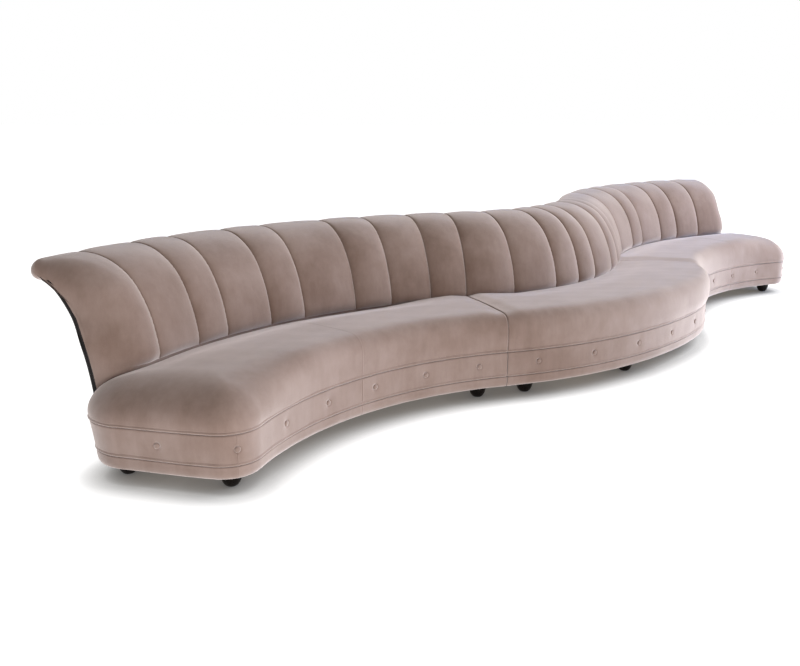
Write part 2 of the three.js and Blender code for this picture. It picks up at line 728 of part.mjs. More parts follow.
function addFrame(module) {
  const last = module.isEnd ? END_ANGLE : SEAM_ANGLE;
  addMesh(`${module.name}_base_panel`, plate(
    floorOutline(module), FOOT_HEIGHT + FLAT_GAP, PANEL_THICKNESS), board);
  addMesh(`${module.name}_front_rail`, frontRail(module), timber);
  addMesh(`${module.name}_back_rail`, backRail(module), timber);
  const crossFront = railFront + RAIL_THICKNESS + CROSS_RAIL_GAP;
  const crossRear = backRailFront - CROSS_RAIL_GAP;
  const inward = module.turn * (module.isEnd ? 1 : -1);
  crossRail(module, `${module.name}_seam_rail`, gapAngle, inward, crossFront, crossRear);
  const endFront = module.isEnd
    ? endLineDepth(frontCornerCentre, FRONT_CORNER_RADIUS) + CROSS_RAIL_GAP : crossFront;
  const endRear = module.isEnd
    ? endLineDepth(rearCornerCentre, REAR_CORNER_RADIUS) - CROSS_RAIL_GAP : crossRear;
  crossRail(module, `${module.name}_end_rail`, last, -inward, endFront, endRear);
  addMesh(`${module.name}_seat_deck`, plate(
    floorOutline(module), deckBottom, PANEL_THICKNESS - FLAT_GAP), board);
  addMesh(`${module.name}_top_rail`, topRail(module), timber);
  const ribSteps = module.isEnd ? END_RIB_STEPS : MIDDLE_RIB_STEPS;
  ribSteps.forEach((step, i) => {
    addRib(module, `${module.name}_back_rib_${i + 1}`, backAngles(module)[step]);
  });
}

function addUpholstery(module) {
  addMesh(`${module.name}_base_band`, baseBand(module), velvet);
  addMesh(`${module.name}_button_band`, buttonBand(module), velvet);
  addMesh(`${module.name}_seat_cushion`, seatCushion(module), velvet);
  addMesh(`${module.name}_back_cushion`, backCushion(module), velvet);
  addMesh(`${module.name}_back_shell`, backShell(module), lacquer);
}

// Steel plates under the base panels tie the modules together at the two seams
function addConnector(module, name, a) {
  const geometry = new THREE.BoxGeometry(CONNECTOR_WIDTH, CONNECTOR_LENGTH, CONNECTOR_THICKNESS);
  const mesh = addMesh(name, geometry, steel);
  const out = depthDirection(module, a);
  mesh.rotation.z = Math.atan2(out.y, out.x);
  mesh.position.copy(place(module, a, BASE_DEPTH / 2, FOOT_HEIGHT - CONNECTOR_THICKNESS / 2));
}

for (const module of modules) {
  addFrame(module);
  addUpholstery(module);
  if (module.isEnd) {
    addFeet(module, "front", END_FOOT_SHARES, BACK_END_ANGLE, FOOT_INSET);
    addFeet(module, "rear", END_FOOT_SHARES, BACK_END_ANGLE, BASE_DEPTH - FOOT_INSET);
  } else {
    addFeet(module, "front", MIDDLE_FRONT_FOOT_SHARES, SEAM_ANGLE, FOOT_INSET);
    addFeet(module, "rear", MIDDLE_REAR_FOOT_SHARES, SEAM_ANGLE, BASE_DEPTH - FOOT_INSET);
  }
}
const middleModule = modules[1];
addConnector(middleModule, "left_seam_connector", 0);
addConnector(middleModule, "right_seam_connector", SEAM_ANGLE);

// The origin is under the middle of the whole sofa, on the floor
const box = new THREE.Box3().setFromObject(sofa);
sofa.position.set(-(box.min.x + box.max.x) / 2, -(box.min.y + box.max.y) / 2, -box.min.z);

export default sofa;
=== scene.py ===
"""A long serpentine sofa in velvet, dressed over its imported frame.

Lengths are metres, Z is up and the sitter looks towards -Y. A place on a module is (a, d, z): the
angle along it from its seam, the depth behind the front edge and the height.
"""
import math

import bmesh
import bpy
import numpy as np
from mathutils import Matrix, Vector


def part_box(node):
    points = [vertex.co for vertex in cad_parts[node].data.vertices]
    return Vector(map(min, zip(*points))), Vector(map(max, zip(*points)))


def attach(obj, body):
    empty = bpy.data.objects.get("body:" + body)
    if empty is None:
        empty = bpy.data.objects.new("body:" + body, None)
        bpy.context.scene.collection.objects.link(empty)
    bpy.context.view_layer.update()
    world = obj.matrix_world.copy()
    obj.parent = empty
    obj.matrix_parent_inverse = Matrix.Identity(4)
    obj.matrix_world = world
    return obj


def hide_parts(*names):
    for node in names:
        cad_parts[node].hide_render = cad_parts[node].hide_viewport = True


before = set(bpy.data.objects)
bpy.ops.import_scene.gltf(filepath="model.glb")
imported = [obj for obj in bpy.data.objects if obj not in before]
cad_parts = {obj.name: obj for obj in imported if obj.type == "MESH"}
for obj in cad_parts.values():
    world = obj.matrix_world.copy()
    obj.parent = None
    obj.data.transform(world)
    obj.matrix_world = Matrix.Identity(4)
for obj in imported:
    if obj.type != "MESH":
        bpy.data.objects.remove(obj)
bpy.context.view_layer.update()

TINY = 1e-6
join = np.concatenate

# Plan of the modules, as in the frame
FRONT_RADIUS = 1.665
SEAT_DEPTH = 0.575
BACK_BASE_DEPTH = 0.16
SEAM_ANGLE = math.radians(60)
END_ANGLE = math.radians(60.85)
FRONT_CORNER_RADIUS = 0.155
REAR_CORNER_RADIUS = 0.19
MODULE_GAP = 0.0008

# The outer edge is eased at the rear corners and fuller at the middle module's right
REAR_CORNER_EASE = 0.015
REAR_EASE_SKEW = 1.4
MIDDLE_FULLNESS = 0.034

# Heights of the layers
FOOT_HEIGHT = 0.075
BAND_SPLIT = 0.134
SEAT_BOTTOM = 0.262
SEAT_JUNCTION = 0.43
BACK_TOP = 0.864
LAYER_GAP = 0.0003

# Back
BACK_LEAN = 0.337
BACK_PAD_THICKNESS = 0.05
BACK_END_ZONE = 0.19
ROLL_RADIUS = 0.043
ROLL_REACH = 0.03
CHANNEL_CREST = 0.032
ROLL_CREST = 0.006
TOP_CREST_SHARE = 0.3
SHELL_THICKNESS = 0.022
SHELL_FOOT_TUCK = 0.012
SHELL_TOP_TUCK = 0.002
TOP_RAIL_WIDTH = 0.11
TOP_RAIL_HEIGHT = 0.04
TOP_RAIL_SLACK = 0.003
SOFT_GAP = 0.0008
END_WARP_REACH = 0.4
END_LEAN = 0.03
END_DRAW = 0.018
END_DROP = 0.013
END_DROP_REACH = 0.3
KNOB_REACH = 0.3
KNOB_SHIFT = np.array([0.013, 0])
KNOB_SWELL = 0.001
CHANNEL_SHARES = {
    "left": [0, 0.098, 0.209, 0.311, 0.459, 0.556, 0.686, 0.774, 0.898, 1],
    "middle": [0, 0.177, 0.363, 0.49, 0.607, 0.785, 0.892, 1],
    "right": [0, 0.182, 0.354, 0.449, 0.601, 0.705, 0.832, 1]}

# Seat cushion's edge: the depth and rise of its rounding, squarer along the front than in the dome
# of the free end, which also lies lower. It falls towards the back, least beside a module's seam.
SEAT_EDGE_START = 0.33
FRONT_EDGE_DEPTH = 0.12
FRONT_EDGE_RISE = 0.136
DOME_DEPTH = 0.35
DOME_RISES = {"left": 0.112, "right": 0.118}
DOME_REAR_DROPS = {"left": 0.020, "right": 0.014}
DOME_REACH = 0.6
DOME_START_DROP = 0.055
MIDDLE_SEAT_FULLNESS = 0.014
SEAT_BULGE = 0.005
DOME_BULGE = 0.004
SEAT_REAR_FALLS = {"left": 0.042, "middle": 0.026, "right": 0.036}
SEAM_REAR_FALL = 0.007
SEAM_FALL_REACH = 0.45
SEAT_SEAM_ROUND = 0.009
SEAT_SEAM_DIP = 0.013
SEAT_SEAM_DIP_REACH = 0.1
SEAM_CREVICE = 0.03
SEAT_CREVICE_ROUND = 0.022
SEAT_BACK_GAP = 0.002

# Bands, piping and buttons
BAND_THICKNESS = 0.03
PIPING_RADIUS = 0.0035
CORD_RADIUS = 0.0045
CORD_FLARE = 0.01
CORD_LIFT = 0.004
BUTTON_RADIUS = 0.0125
BUTTON_SINK = 0.0018
END_BUTTON_PITCH = 0.312
MIDDLE_BUTTON_PITCH = 0.36
END_FACE_BUTTON_DEPTH = 0.343
CORNER_BUTTON_TURN = math.pi / 4

# Places of the covers' own seams, as angles from the module's seam
COVER_SEAMS = {"left": math.radians(29.75), "right": math.radians(37)}

BACK_RADIUS = FRONT_RADIUS + SEAT_DEPTH
BASE_DEPTH = SEAT_DEPTH + BACK_BASE_DEPTH
GAP_ANGLE = MODULE_GAP / 2 / FRONT_RADIUS
FRONT_CORNER_CENTRE = FRONT_RADIUS + FRONT_CORNER_RADIUS
FRONT_CORNER_ANGLE = END_ANGLE - math.asin(FRONT_CORNER_RADIUS / FRONT_CORNER_CENTRE)
REAR_CORNER_CENTRE = FRONT_RADIUS + BASE_DEPTH - REAR_CORNER_RADIUS
BACK_END_ANGLE = END_ANGLE - math.asin(REAR_CORNER_RADIUS / REAR_CORNER_CENTRE)
END_ZONE_ANGLE = BACK_END_ZONE / BACK_RADIUS
ROLL_CENTRE = np.array([BACK_LEAN + ROLL_REACH, BACK_TOP - ROLL_RADIUS])
ROLL_UNDERSIDE = ROLL_CENTRE[1] - ROLL_RADIUS
FRONT_LINE_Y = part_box("middle_button_band")[0].y + PIPING_RADIUS


def clamp(x):
    return np.clip(x, 0, 1)


def smoothstep(low, high, x):
    t = clamp((x - low) / (high - low))
    return t * t * (3 - 2 * t)


def near(x, reach):
    """1 at no distance, falling smoothly to 0 at the reach."""
    return 1 - smoothstep(0, reach, x)


def hump(x, width):
    return np.exp(-(x / width) ** 2)


def rounding(distance, radius, share=1):
    """How far a rounded edge has fallen away, in radii, at a distance in from the edge."""
    return 1 - np.sqrt(1 - share * clamp(1 - distance / radius) ** 2)


def unit(angle):
    return np.stack([np.cos(angle), np.sin(angle)], axis=-1)


def full_turn(count):
    return np.linspace(0, 2 * math.pi, count + 1)[:-1]


def normalised(vectors):
    return vectors / np.linalg.norm(vectors, axis=-1, keepdims=True)


def left_of(vectors):
    return normalised(np.stack([-vectors[:, 1], vectors[:, 0]], axis=-1))


# Unevenness of the covers: about the height and length of its waves, and its seed
UNEVENNESS = {
    "back": (0.0012, 0.22, 11), "seat": (0.0016, 0.5, 21), "seat_fine": (0.0007, 0.13, 22),
    "button_band": (0.0007, 0.16, 31), "base_band": (0.0007, 0.2, 41)}
WAVE_COUNT = 6
WAVE_PITCH_SPREAD = (0.6, 1.5)


def waves(points, kind):
    """Smooth noise at the points: sine waves in seeded directions."""
    height, length, seed = UNEVENNESS[kind]
    rng = np.random.default_rng(seed)
    total = np.zeros(points.shape[:-1])
    for _ in range(WAVE_COUNT):
        direction = rng.normal(size=points.shape[-1])
        direction /= np.linalg.norm(direction)
        pitch = 2 * math.pi / length * rng.uniform(*WAVE_PITCH_SPREAD)
        total += np.sin(points @ direction * pitch + rng.uniform(0, 2 * math.pi))
    return height * (total / math.sqrt(WAVE_COUNT))


class Module:
    """One curved third of the sofa, with the sense in which its angle grows."""

    def __init__(self, name, centre, start, turn):
        self.name = name
        self.is_end = name != "middle"
        self.centre = np.array(centre) + np.array([0, FRONT_LINE_Y])
        self.start = start
        self.turn = turn
        self.edge = outer_edge(self)

    def radius(self, d):
        return FRONT_RADIUS + d if self.is_end else BACK_RADIUS - d

    def last_angle(self, at_end):
        """The given angle on an end module, and the second seam's on the middle one."""
        return at_end if self.is_end else SEAM_ANGLE - GAP_ANGLE

    def plan(self, a, d):
        a, d = np.broadcast_arrays(a, d)
        return self.centre + self.radius(d)[..., None] * unit(self.start + self.turn * a)

    def place(self, a, d, z):
        a, d, z = np.broadcast_arrays(a, d, z)
        return join([self.plan(a, d), z[..., None]], axis=-1)

    def depthward(self, a):
        outward = unit(self.start + self.turn * a)
        return outward if self.is_end else -outward

    def along(self, a):
        return unit(self.start + self.turn * (a + QUARTER))

    def polar(self, points):
        """Angle and depth of plan points."""
        rel = points - self.centre
        angle = np.arctan2(rel[..., 1], rel[..., 0])
        a = (self.turn * (angle - self.start) + math.pi) % (2 * math.pi) - math.pi
        radius = np.linalg.norm(rel, axis=-1)
        return a, radius - FRONT_RADIUS if self.is_end else BACK_RADIUS - radius


HALF_ARC = SEAM_ANGLE / 2
QUARTER = math.pi / 2
SPREAD = (FRONT_RADIUS + BACK_RADIUS) * math.sin(HALF_ARC)
END_CENTRE_Y = BACK_RADIUS - (FRONT_RADIUS + BACK_RADIUS) * math.cos(HALF_ARC)


def add_object(name, data):
    thing = bpy.data.objects.new(name, data)
    bpy.context.scene.collection.objects.link(thing)
    return thing


# Camera

LENS = 41.05
SENSOR_WIDTH = 36
CAMERA_PLACE = (-4.8036, -2.297 + FRONT_LINE_Y, 1.443)
CAMERA_YAW = math.radians(42.167)
CAMERA_PITCH = math.radians(-13.602)
CAMERA_REACH = 100

camera = add_object("camera", bpy.data.cameras.new("camera"))
camera.data.lens = LENS
camera.data.sensor_width = SENSOR_WIDTH
camera.data.clip_end = CAMERA_REACH
camera.location = CAMERA_PLACE
camera.rotation_euler = (QUARTER + CAMERA_PITCH, 0, CAMERA_YAW - QUARTER)
bpy.context.scene.camera = camera


# Materials

class Nodes:
    """The node tree of a material or a world. Inputs take plain values or other nodes' outputs."""

    def __init__(self, owner):
        owner.use_nodes = True
        self.owner = owner
        self.nodes = owner.node_tree.nodes

    def feed(self, socket, value):
        if hasattr(value, "is_linked"):
            self.owner.node_tree.links.new(value, socket)
        else:
            socket.default_value = value

    def fill(self, node, **inputs):
        for key, value in inputs.items():
            self.feed(node.inputs[key.replace("_", " ")], value)
        return node.outputs

    def add(self, kind, **inputs):
        """The outputs of a new node, with its inputs by their names."""
        return self.fill(self.nodes.new(kind), **inputs)

    def apply(self, kind, *values, **settings):
        """The first output of a new node, with its inputs in their order."""
        node = self.nodes.new(kind)
        for key, value in settings.items():
            setattr(node, key, value)
        for socket, value in zip(node.inputs, values):
            self.feed(socket, value)
        return node.outputs[0]

    def scaled(self, scale):
        place = self.add("ShaderNodeTexCoord")["Object"]
        return self.add("ShaderNodeMapping", Scale=scale, Vector=place)["Vector"]

    def noise(self, scale, detail, roughness=0.5, stretch=(1, 1, 1)):
        return self.add("ShaderNodeTexNoise", Scale=scale, Detail=detail, Roughness=roughness,
                        Vector=self.scaled(stretch))["Fac"]

    def spread(self, value, low, high):
        """The value's middle range stretched to 0..1."""
        return self.add("ShaderNodeMapRange", From_Min=low, From_Max=high, Value=value)["Result"]

    def mix(self, factor, first, second):
        node = self.nodes.new("ShaderNodeMix")
        node.data_type = "RGBA"
        for value, socket in ((factor, 0), (first, 6), (second, 7)):
            self.feed(node.inputs[socket], value)
        return node.outputs[2]

    def bump(self, height, strength, distance, **below):
        return self.add("ShaderNodeBump", Strength=strength, Distance=distance, Height=height,
                        **below)["Normal"]

    def finish(self, **inputs):
        """The material, with the inputs of its main shader."""
        self.fill(self.nodes["Principled BSDF"], **inputs)
        return self.owner


def srgb(red, green, blue):
    """A colour given as 0 to 255 in a picture, as linear light."""
    def linear(value):
        value /= 255
        return value / 12.92 if value <= 0.04045 else ((value + 0.055) / 1.055) ** 2.4
    return (linear(red), linear(green), linear(blue), 1)


def velvet_material():
    n = Nodes(bpy.data.materials.new("velvet"))
    broad = n.spread(n.noise(3.4, 4, 0.6), 0.38, 0.66)
    brushed = n.spread(n.noise(26, 3, 0.6, (1, 1, 0.22)), 0.35, 0.7)
    fine = n.noise(170, 4, 0.75)
    nap = n.mix(broad, srgb(122, 99, 88), srgb(147, 127, 119))
    streaked = n.mix(0.18, nap, n.mix(brushed, srgb(108, 88, 79), srgb(156, 137, 130)))
    speckled = n.mix(0.14, streaked, n.mix(fine, srgb(92, 75, 67), srgb(171, 153, 146)))
    pile = n.bump(n.noise(900, 3, 0.65), 0.22, 0.0012)
    soft = n.bump(n.noise(34, 3, 0.55, (1, 1, 0.5)), 0.10, 0.004, Normal=pile)
    return n.finish(
        Base_Color=speckled, Roughness=0.9, Normal=soft, Sheen_Weight=1.0,
        Sheen_Roughness=0.5, Sheen_Tint=srgb(255, 246, 246), Specular_IOR_Level=0.1)


def lacquer_material():
    n = Nodes(bpy.data.materials.new("lacquer"))
    wear = n.spread(n.noise(38, 5, 0.6), 0.4, 0.75)
    grain = n.noise(9, 4, 0.55, (3, 3, 0.4))
    tone = n.mix(wear, srgb(13, 10, 9), srgb(24, 19, 17))
    return n.finish(
        Base_Color=n.mix(0.3, tone, n.mix(grain, srgb(9, 7, 6), srgb(28, 22, 20))),
        Roughness=n.spread(wear, -1.2, 5), Normal=n.bump(grain, 0.04, 0.001),
        Specular_IOR_Level=0.12, Coat_Weight=0.1, Coat_Roughness=0.12)


def wood_material(name, dark, light, ring_scale):
    n = Nodes(bpy.data.materials.new(name))
    wave = n.add("ShaderNodeTexWave", Scale=ring_scale, Distortion=7, Detail=3, Detail_Scale=1.4,
                 Vector=n.scaled((1, 1, 3)))["Fac"]
    fibre = n.noise(60, 4, 0.6, (1, 1, 8))
    worn = n.mix(n.spread(n.noise(3, 3), 0.3, 0.8), n.mix(wave, dark, light), light)
    return n.finish(
        Base_Color=n.mix(0.25, worn, n.mix(fibre, dark, light)), Roughness=0.62,
        Normal=n.bump(fibre, 0.15, 0.001))


def steel_material():
    n = Nodes(bpy.data.materials.new("steel"))
    brushed = n.noise(180, 3, 0.6, (1, 12, 1))
    tone = n.mix(brushed, (0.42, 0.43, 0.44, 1), (0.6, 0.61, 0.62, 1))
    return n.finish(
        Base_Color=tone, Metallic=1.0, Roughness=n.spread(brushed, -0.8, 3),
        Normal=n.bump(brushed, 0.05, 0.0005))


VELVET = velvet_material()
LACQUER = lacquer_material()
TIMBER = wood_material("timber", srgb(150, 112, 72), srgb(196, 160, 114), 9)
BOARD = wood_material("board", srgb(140, 112, 78), srgb(176, 148, 108), 4)
STEEL = steel_material()


# Meshes

SHARP_ANGLE = math.radians(50)


def make_mesh(name, vertices, faces, material):
    """A smooth-shaded piece on the sofa's one body, its faces turned outwards."""
    mesh = bpy.data.meshes.new(name)
    mesh.from_pydata(vertices.tolist(), [], faces)
    work = bmesh.new()
    work.from_mesh(mesh)
    bmesh.ops.remove_doubles(work, verts=work.verts, dist=TINY)
    bmesh.ops.recalc_face_normals(work, faces=work.faces)
    for face in work.faces:
        face.smooth = True
    for edge in work.edges:
        edge.smooth = edge.calc_face_angle(0) < SHARP_ANGLE
    work.to_mesh(mesh)
    work.free()
    mesh.materials.append(material)
    piece = add_object(name, mesh)
    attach(piece, "root")
    return piece


def loft_faces(count, size, offset):
    """Faces of a closed solid through count rings of size points, with a cap at each end."""
    grid = offset + np.arange(count * size).reshape(count, size)
    turned = np.roll(grid, -1, axis=1)
    quads = np.stack([grid[:-1], turned[:-1], turned[1:], grid[1:]], axis=-1).reshape(-1, 4)
    return [*quads.tolist(), grid[0, ::-1].tolist(), grid[-1].tolist()]


def joined_lofts(name, ring_sets, material):
    """One piece made of closed solids, each lofted through its rings of points."""
    faces = []
    offset = 0
    for rings in ring_sets:
        count, size, _ = rings.shape
        faces += loft_faces(count, size, offset)
        offset += count * size
    vertices = join([rings.reshape(-1, 3) for rings in ring_sets])
    return make_mesh(name, vertices, faces, material)


def loft(name, rings, material):
    return joined_lofts(name, [rings], material)


# Plan lines

POINTS_PER_PASS = 4000


class Path:
    """A plan line with its outward normals, read by its length from the module's seam."""

    def __init__(self, points, first_normal=(1, 0)):
        self.points = points
        steps = np.linalg.norm(np.diff(points, axis=0), axis=1)
        self.lengths = join([[0], np.cumsum(steps)])
        self.total = self.lengths[-1]
        normals = left_of(np.gradient(points, self.lengths, axis=0))
        self.normals = normals * np.sign(normals[0] @ np.array(first_normal))

    def read(self, rows, s):
        return np.stack([np.interp(s, self.lengths, rows[:, i]) for i in (0, 1)], axis=-1)

    def point(self, s):
        return self.read(self.points, s)

    def normal(self, s):
        return normalised(self.read(self.normals, s))

    def distance_inside(self, points):
        """Distance of plan points inside the line, square to its nearest place."""
        flat = points.reshape(-1, 2)
        inside = np.empty(len(flat))
        for part in np.array_split(np.arange(len(flat)), len(flat) // POINTS_PER_PASS + 1):
            gaps = flat[part, None] - self.points[None]
            nearest = np.argmin(np.einsum("ijk,ijk->ij", gaps, gaps), axis=1)
            rows = np.arange(len(part))
            inside[part] = -np.einsum("ij,ij->i", gaps[rows, nearest], self.normals[nearest])
        return inside.reshape(points.shape[:-1])


DENSE_STEP = 0.002


def dense(length):
    return np.linspace(0, 1, max(2, int(length / DENSE_STEP)))


def dense_angles(last, radius):
    """Angles from the module's seam to the last one, set close together at the radius."""
    return GAP_ANGLE + dense(last * radius) * (last - GAP_ANGLE)


def swing(first, last, radius):
    """Unit directions that turn evenly, the short way, from the first, left out, to the last."""
    start = math.atan2(first[1], first[0])
    turn = (math.atan2(last[1], last[0]) - start + math.pi) % (2 * math.pi) - math.pi
    return unit(start + dense(radius * QUARTER)[1:] * turn)


def fullness_share(a):
    """Where the middle module's front is fuller than its arc: 0 at its seams, 1 at its right."""
    return np.sin(math.pi * clamp(a / SEAM_ANGLE) ** 3) ** 2


def outer_edge(module):
    """Front edge from the seam and, on an end module, on round the free end to the shell."""
    a = dense_angles(module.last_angle(FRONT_CORNER_ANGLE), FRONT_RADIUS)
    front = module.plan(a, 0.0)
    if not module.is_end:
        fullness = MIDDLE_FULLNESS * fullness_share(a)[:, None]
        return Path(front - fullness * module.depthward(a), -module.depthward(0.0))
    end = module.along(END_ANGLE)
    front_turn = swing(-module.depthward(FRONT_CORNER_ANGLE), end, FRONT_CORNER_RADIUS)
    rear_turn = swing(end, module.depthward(BACK_END_ANGLE), REAR_CORNER_RADIUS)
    first = module.plan(FRONT_CORNER_ANGLE, FRONT_CORNER_RADIUS)
    second = module.plan(BACK_END_ANGLE, BASE_DEPTH - REAR_CORNER_RADIUS)
    corner = first + FRONT_CORNER_RADIUS * front_turn
    rear_corner = second + REAR_CORNER_RADIUS * rear_turn
    t = dense(np.linalg.norm(rear_corner[0] - corner[-1]))[1:, None]
    line = corner[-1] + t * (rear_corner[0] - corner[-1])
    sides = [front, corner, line[:-1], rear_corner]
    outward = [np.zeros_like(front), front_turn, np.tile(end, (len(line) - 1, 1)), rear_turn]
    run = join([np.zeros(len(front) + len(corner)),
                np.linspace(0, 1, len(line) + len(rear_corner) - 1)])
    ease = REAR_CORNER_EASE * np.sin(math.pi * run ** REAR_EASE_SKEW) ** 2
    points = join(sides) - ease[:, None] * join(outward)
    return Path(points, -module.depthward(0.0))


MODULES = [
    Module("left", (-SPREAD, END_CENTRE_Y), QUARTER - HALF_ARC, 1),
    Module("middle", (0, BACK_RADIUS), -QUARTER - HALF_ARC, 1),
    Module("right", (SPREAD, END_CENTRE_Y), QUARTER + HALF_ARC, -1),
]


def corner_places(module):
    """Lengths along an end module's outer edge at which its corners begin and end."""
    front = FRONT_RADIUS * (FRONT_CORNER_ANGLE - GAP_ANGLE)
    corner = FRONT_CORNER_RADIUS * (math.pi - (QUARTER - (END_ANGLE - FRONT_CORNER_ANGLE)))
    rear = REAR_CORNER_RADIUS * (QUARTER - (END_ANGLE - BACK_END_ANGLE))
    return front, front + corner, module.edge.total - rear


def button_lengths(module):
    """Lengths along the outer edge at which the buttons are sewn."""
    pitch = END_BUTTON_PITCH if module.is_end else MIDDLE_BUTTON_PITCH
    run = module.radius(0.0) * (FRONT_CORNER_ANGLE if module.is_end else SEAM_ANGLE)
    lengths = list(np.arange(pitch / 2, run - pitch / 4, pitch))
    if module.is_end:
        front, corner_end, _ = corner_places(module)
        line_start = math.sqrt(FRONT_CORNER_CENTRE ** 2 - FRONT_CORNER_RADIUS ** 2) - FRONT_RADIUS
        lengths.append(front + FRONT_CORNER_RADIUS * CORNER_BUTTON_TURN)
        lengths.append(corner_end + END_FACE_BUTTON_DEPTH - line_start)
    return lengths


CLOSEST_SHARE = 0.45


def around(spot, step, reach):
    return np.arange(spot - reach, spot + reach, step)


def spaced(total, step, fine_spots=(), fine_step=0.001, fine_reach=0):
    """Lengths a step apart, closer near the fine spots, and never much closer than fine_step."""
    parts = [np.linspace(0, total, int(total / step) + 1)]
    parts += [around(spot, fine_step, fine_reach) for spot in fine_spots]
    merged = np.unique(join(parts).clip(0, total))
    keep = [merged[0]]
    for value in merged[1:]:
        if value - keep[-1] > CLOSEST_SHARE * fine_step:
            keep.append(value)
    keep[-1] = total
    return np.array(keep)


# Side profiles of the back, as (depth behind the back's foot, height)

def bezier(points, t):
    """Points of a cubic curve and its unit normals there."""
    t = t[..., None]
    p, q, r, s = np.array(points)
    place = (1 - t) ** 3 * p + 3 * (1 - t) ** 2 * t * q + 3 * (1 - t) * t ** 2 * r + t ** 3 * s
    slope = (1 - t) ** 2 * (q - p) + 2 * (1 - t) * t * (r - q) + t ** 2 * (s - r)
    return place, left_of(slope)


VALLEY_HANDLES = (-0.044, 0.11)
VALLEY = [(0, SEAT_JUNCTION), (VALLEY_HANDLES[0] * BACK_LEAN, SEAT_JUNCTION),
          (VALLEY_HANDLES[1] * BACK_LEAN, BACK_TOP), (BACK_LEAN, BACK_TOP)]
SHELL_TOP_GAP = 0.001
SHELL_FOOT = np.array([BACK_BASE_DEPTH - SHELL_FOOT_TUCK, FOOT_HEIGHT])
SHELL_TOP = np.array([ROLL_CENTRE[0] - SHELL_TOP_TUCK, ROLL_UNDERSIDE - SHELL_TOP_GAP])
SHELL_HANDLE_SHARES = np.array([(0.024, 0.32), (0.217, 0.849)])
SHELL = [SHELL_FOOT, *SHELL_FOOT + SHELL_HANDLE_SHARES * (SHELL_TOP - SHELL_FOOT), SHELL_TOP]
SHELL_LINE, SHELL_NORMALS = bezier(SHELL, np.linspace(0, 1, 400))
SHELL_INNER_DEPTH = SHELL_LINE[:, 0] + SHELL_THICKNESS / SHELL_NORMALS[:, 0]


def shell_inner(z, gap=0.0):
    return np.interp(z, SHELL_LINE[:, 1], SHELL_INNER_DEPTH) - gap


# Back cushions

LOW_ROWS = 3
FRONT_ROWS = 60
FRONT_ROW_POWER = 0.9
ROLL_ROWS = 26
REAR_ROWS = 8
CHANNEL_STATIONS = 26
ZONE_STATIONS = 30
ZONE_EDGE = 1e-5
PARTNER_FROM_SHARES = [0, 0.14, 0.28, 0.42, 0.57, 0.72, 0.86, 1]
PARTNER_HEIGHT_SHARES = [0, 0.15, 0.33, 0.52, 0.68, 0.81, 0.92, 1]
INNER_SHARES = np.array([0.6, 0.36, 0.12])
CREST_ROOT = 0.53
CREST_RISE_END = 0.2
CREST_FALL_START = 0.62
ROLL_CREST_TURN = 0.9
KNOB_START = 0.7
CHANNEL_FULLNESS = (0.9, 1.1)
PUCKER_PITCH = 0.028
PUCKER_PLACE = 0.006
PUCKER_REACH = 0.012
PUCKER_DEPTH = 0.0009
PUCKER_DRIFT = (2, 7)
CHANNEL_SEAM_SINK = 0.003
CHANNEL_SEAM_WIDTH = 0.0025
# Shares of the back's height between which its free end draws in, and drops
DRAW_RISE = (0.2, 0.5)
DROP_RISE = (0.7, 0.92)


def back_front():
    """Front rows of the section: point, direction, crest, partner to round to, roll's share."""
    low = np.linspace(SEAT_BOTTOM, SEAT_JUNCTION, LOW_ROWS + 1)[:-1]
    t = np.linspace(0, 1, FRONT_ROWS) ** FRONT_ROW_POWER
    valley, normals = bezier(VALLEY, t)
    turn = np.linspace(QUARTER, -QUARTER, ROLL_ROWS)[1:]
    points = join([
        np.stack([np.zeros_like(low), low], axis=-1), valley,
        ROLL_CENTRE + ROLL_RADIUS * unit(turn)])
    out = join([np.tile([-1.0, 0.0], (len(low), 1)), normals, unit(turn)])
    rise = smoothstep(0.0, CREST_RISE_END, t)
    fall = 1 - (1 - TOP_CREST_SHARE) * smoothstep(CREST_FALL_START, 1.0, t)
    on_roll = ROLL_CREST + (TOP_CREST_SHARE * CHANNEL_CREST - ROLL_CREST) * smoothstep(
        ROLL_CREST_TURN, QUARTER, turn)
    crest = join([
        np.zeros_like(low), CHANNEL_CREST * rise * fall, on_roll * smoothstep(-QUARTER, 0, turn)])
    partner_z = join([low, SEAT_JUNCTION + (ROLL_UNDERSIDE - SEAT_JUNCTION) * np.interp(
        t, PARTNER_FROM_SHARES, PARTNER_HEIGHT_SHARES)])
    partners = join([
        np.stack([shell_inner(partner_z, SOFT_GAP), partner_z], axis=-1),
        np.tile(ROLL_CENTRE, (len(turn), 1))])
    of_roll = join([np.zeros_like(low), smoothstep(KNOB_START, 1, t), np.ones_like(turn)])
    return points, out, crest, partners, of_roll


def back_rear():
    """Rear rows: a sheet with a pocket for the top rail, and the solid rear of the rounded end."""
    pocket_rear = shell_inner(ROLL_UNDERSIDE) - SOFT_GAP
    pocket_front = pocket_rear - TOP_RAIL_WIDTH - 2 * TOP_RAIL_SLACK
    pocket_top = ROLL_UNDERSIDE + TOP_RAIL_HEIGHT + LAYER_GAP
    valley, normals = bezier(VALLEY, INNER_SHARES)
    beside = valley - BACK_PAD_THICKNESS * normals
    sheet = np.array([
        [pocket_rear, ROLL_UNDERSIDE], [pocket_rear, pocket_top], [pocket_front, pocket_top],
        [pocket_front, ROLL_UNDERSIDE], *beside, [BACK_PAD_THICKNESS, SEAT_BOTTOM]])
    z = np.linspace(ROLL_UNDERSIDE, SEAT_BOTTOM, REAR_ROWS)
    return sheet, np.stack([shell_inner(z, SOFT_GAP), z], axis=-1)


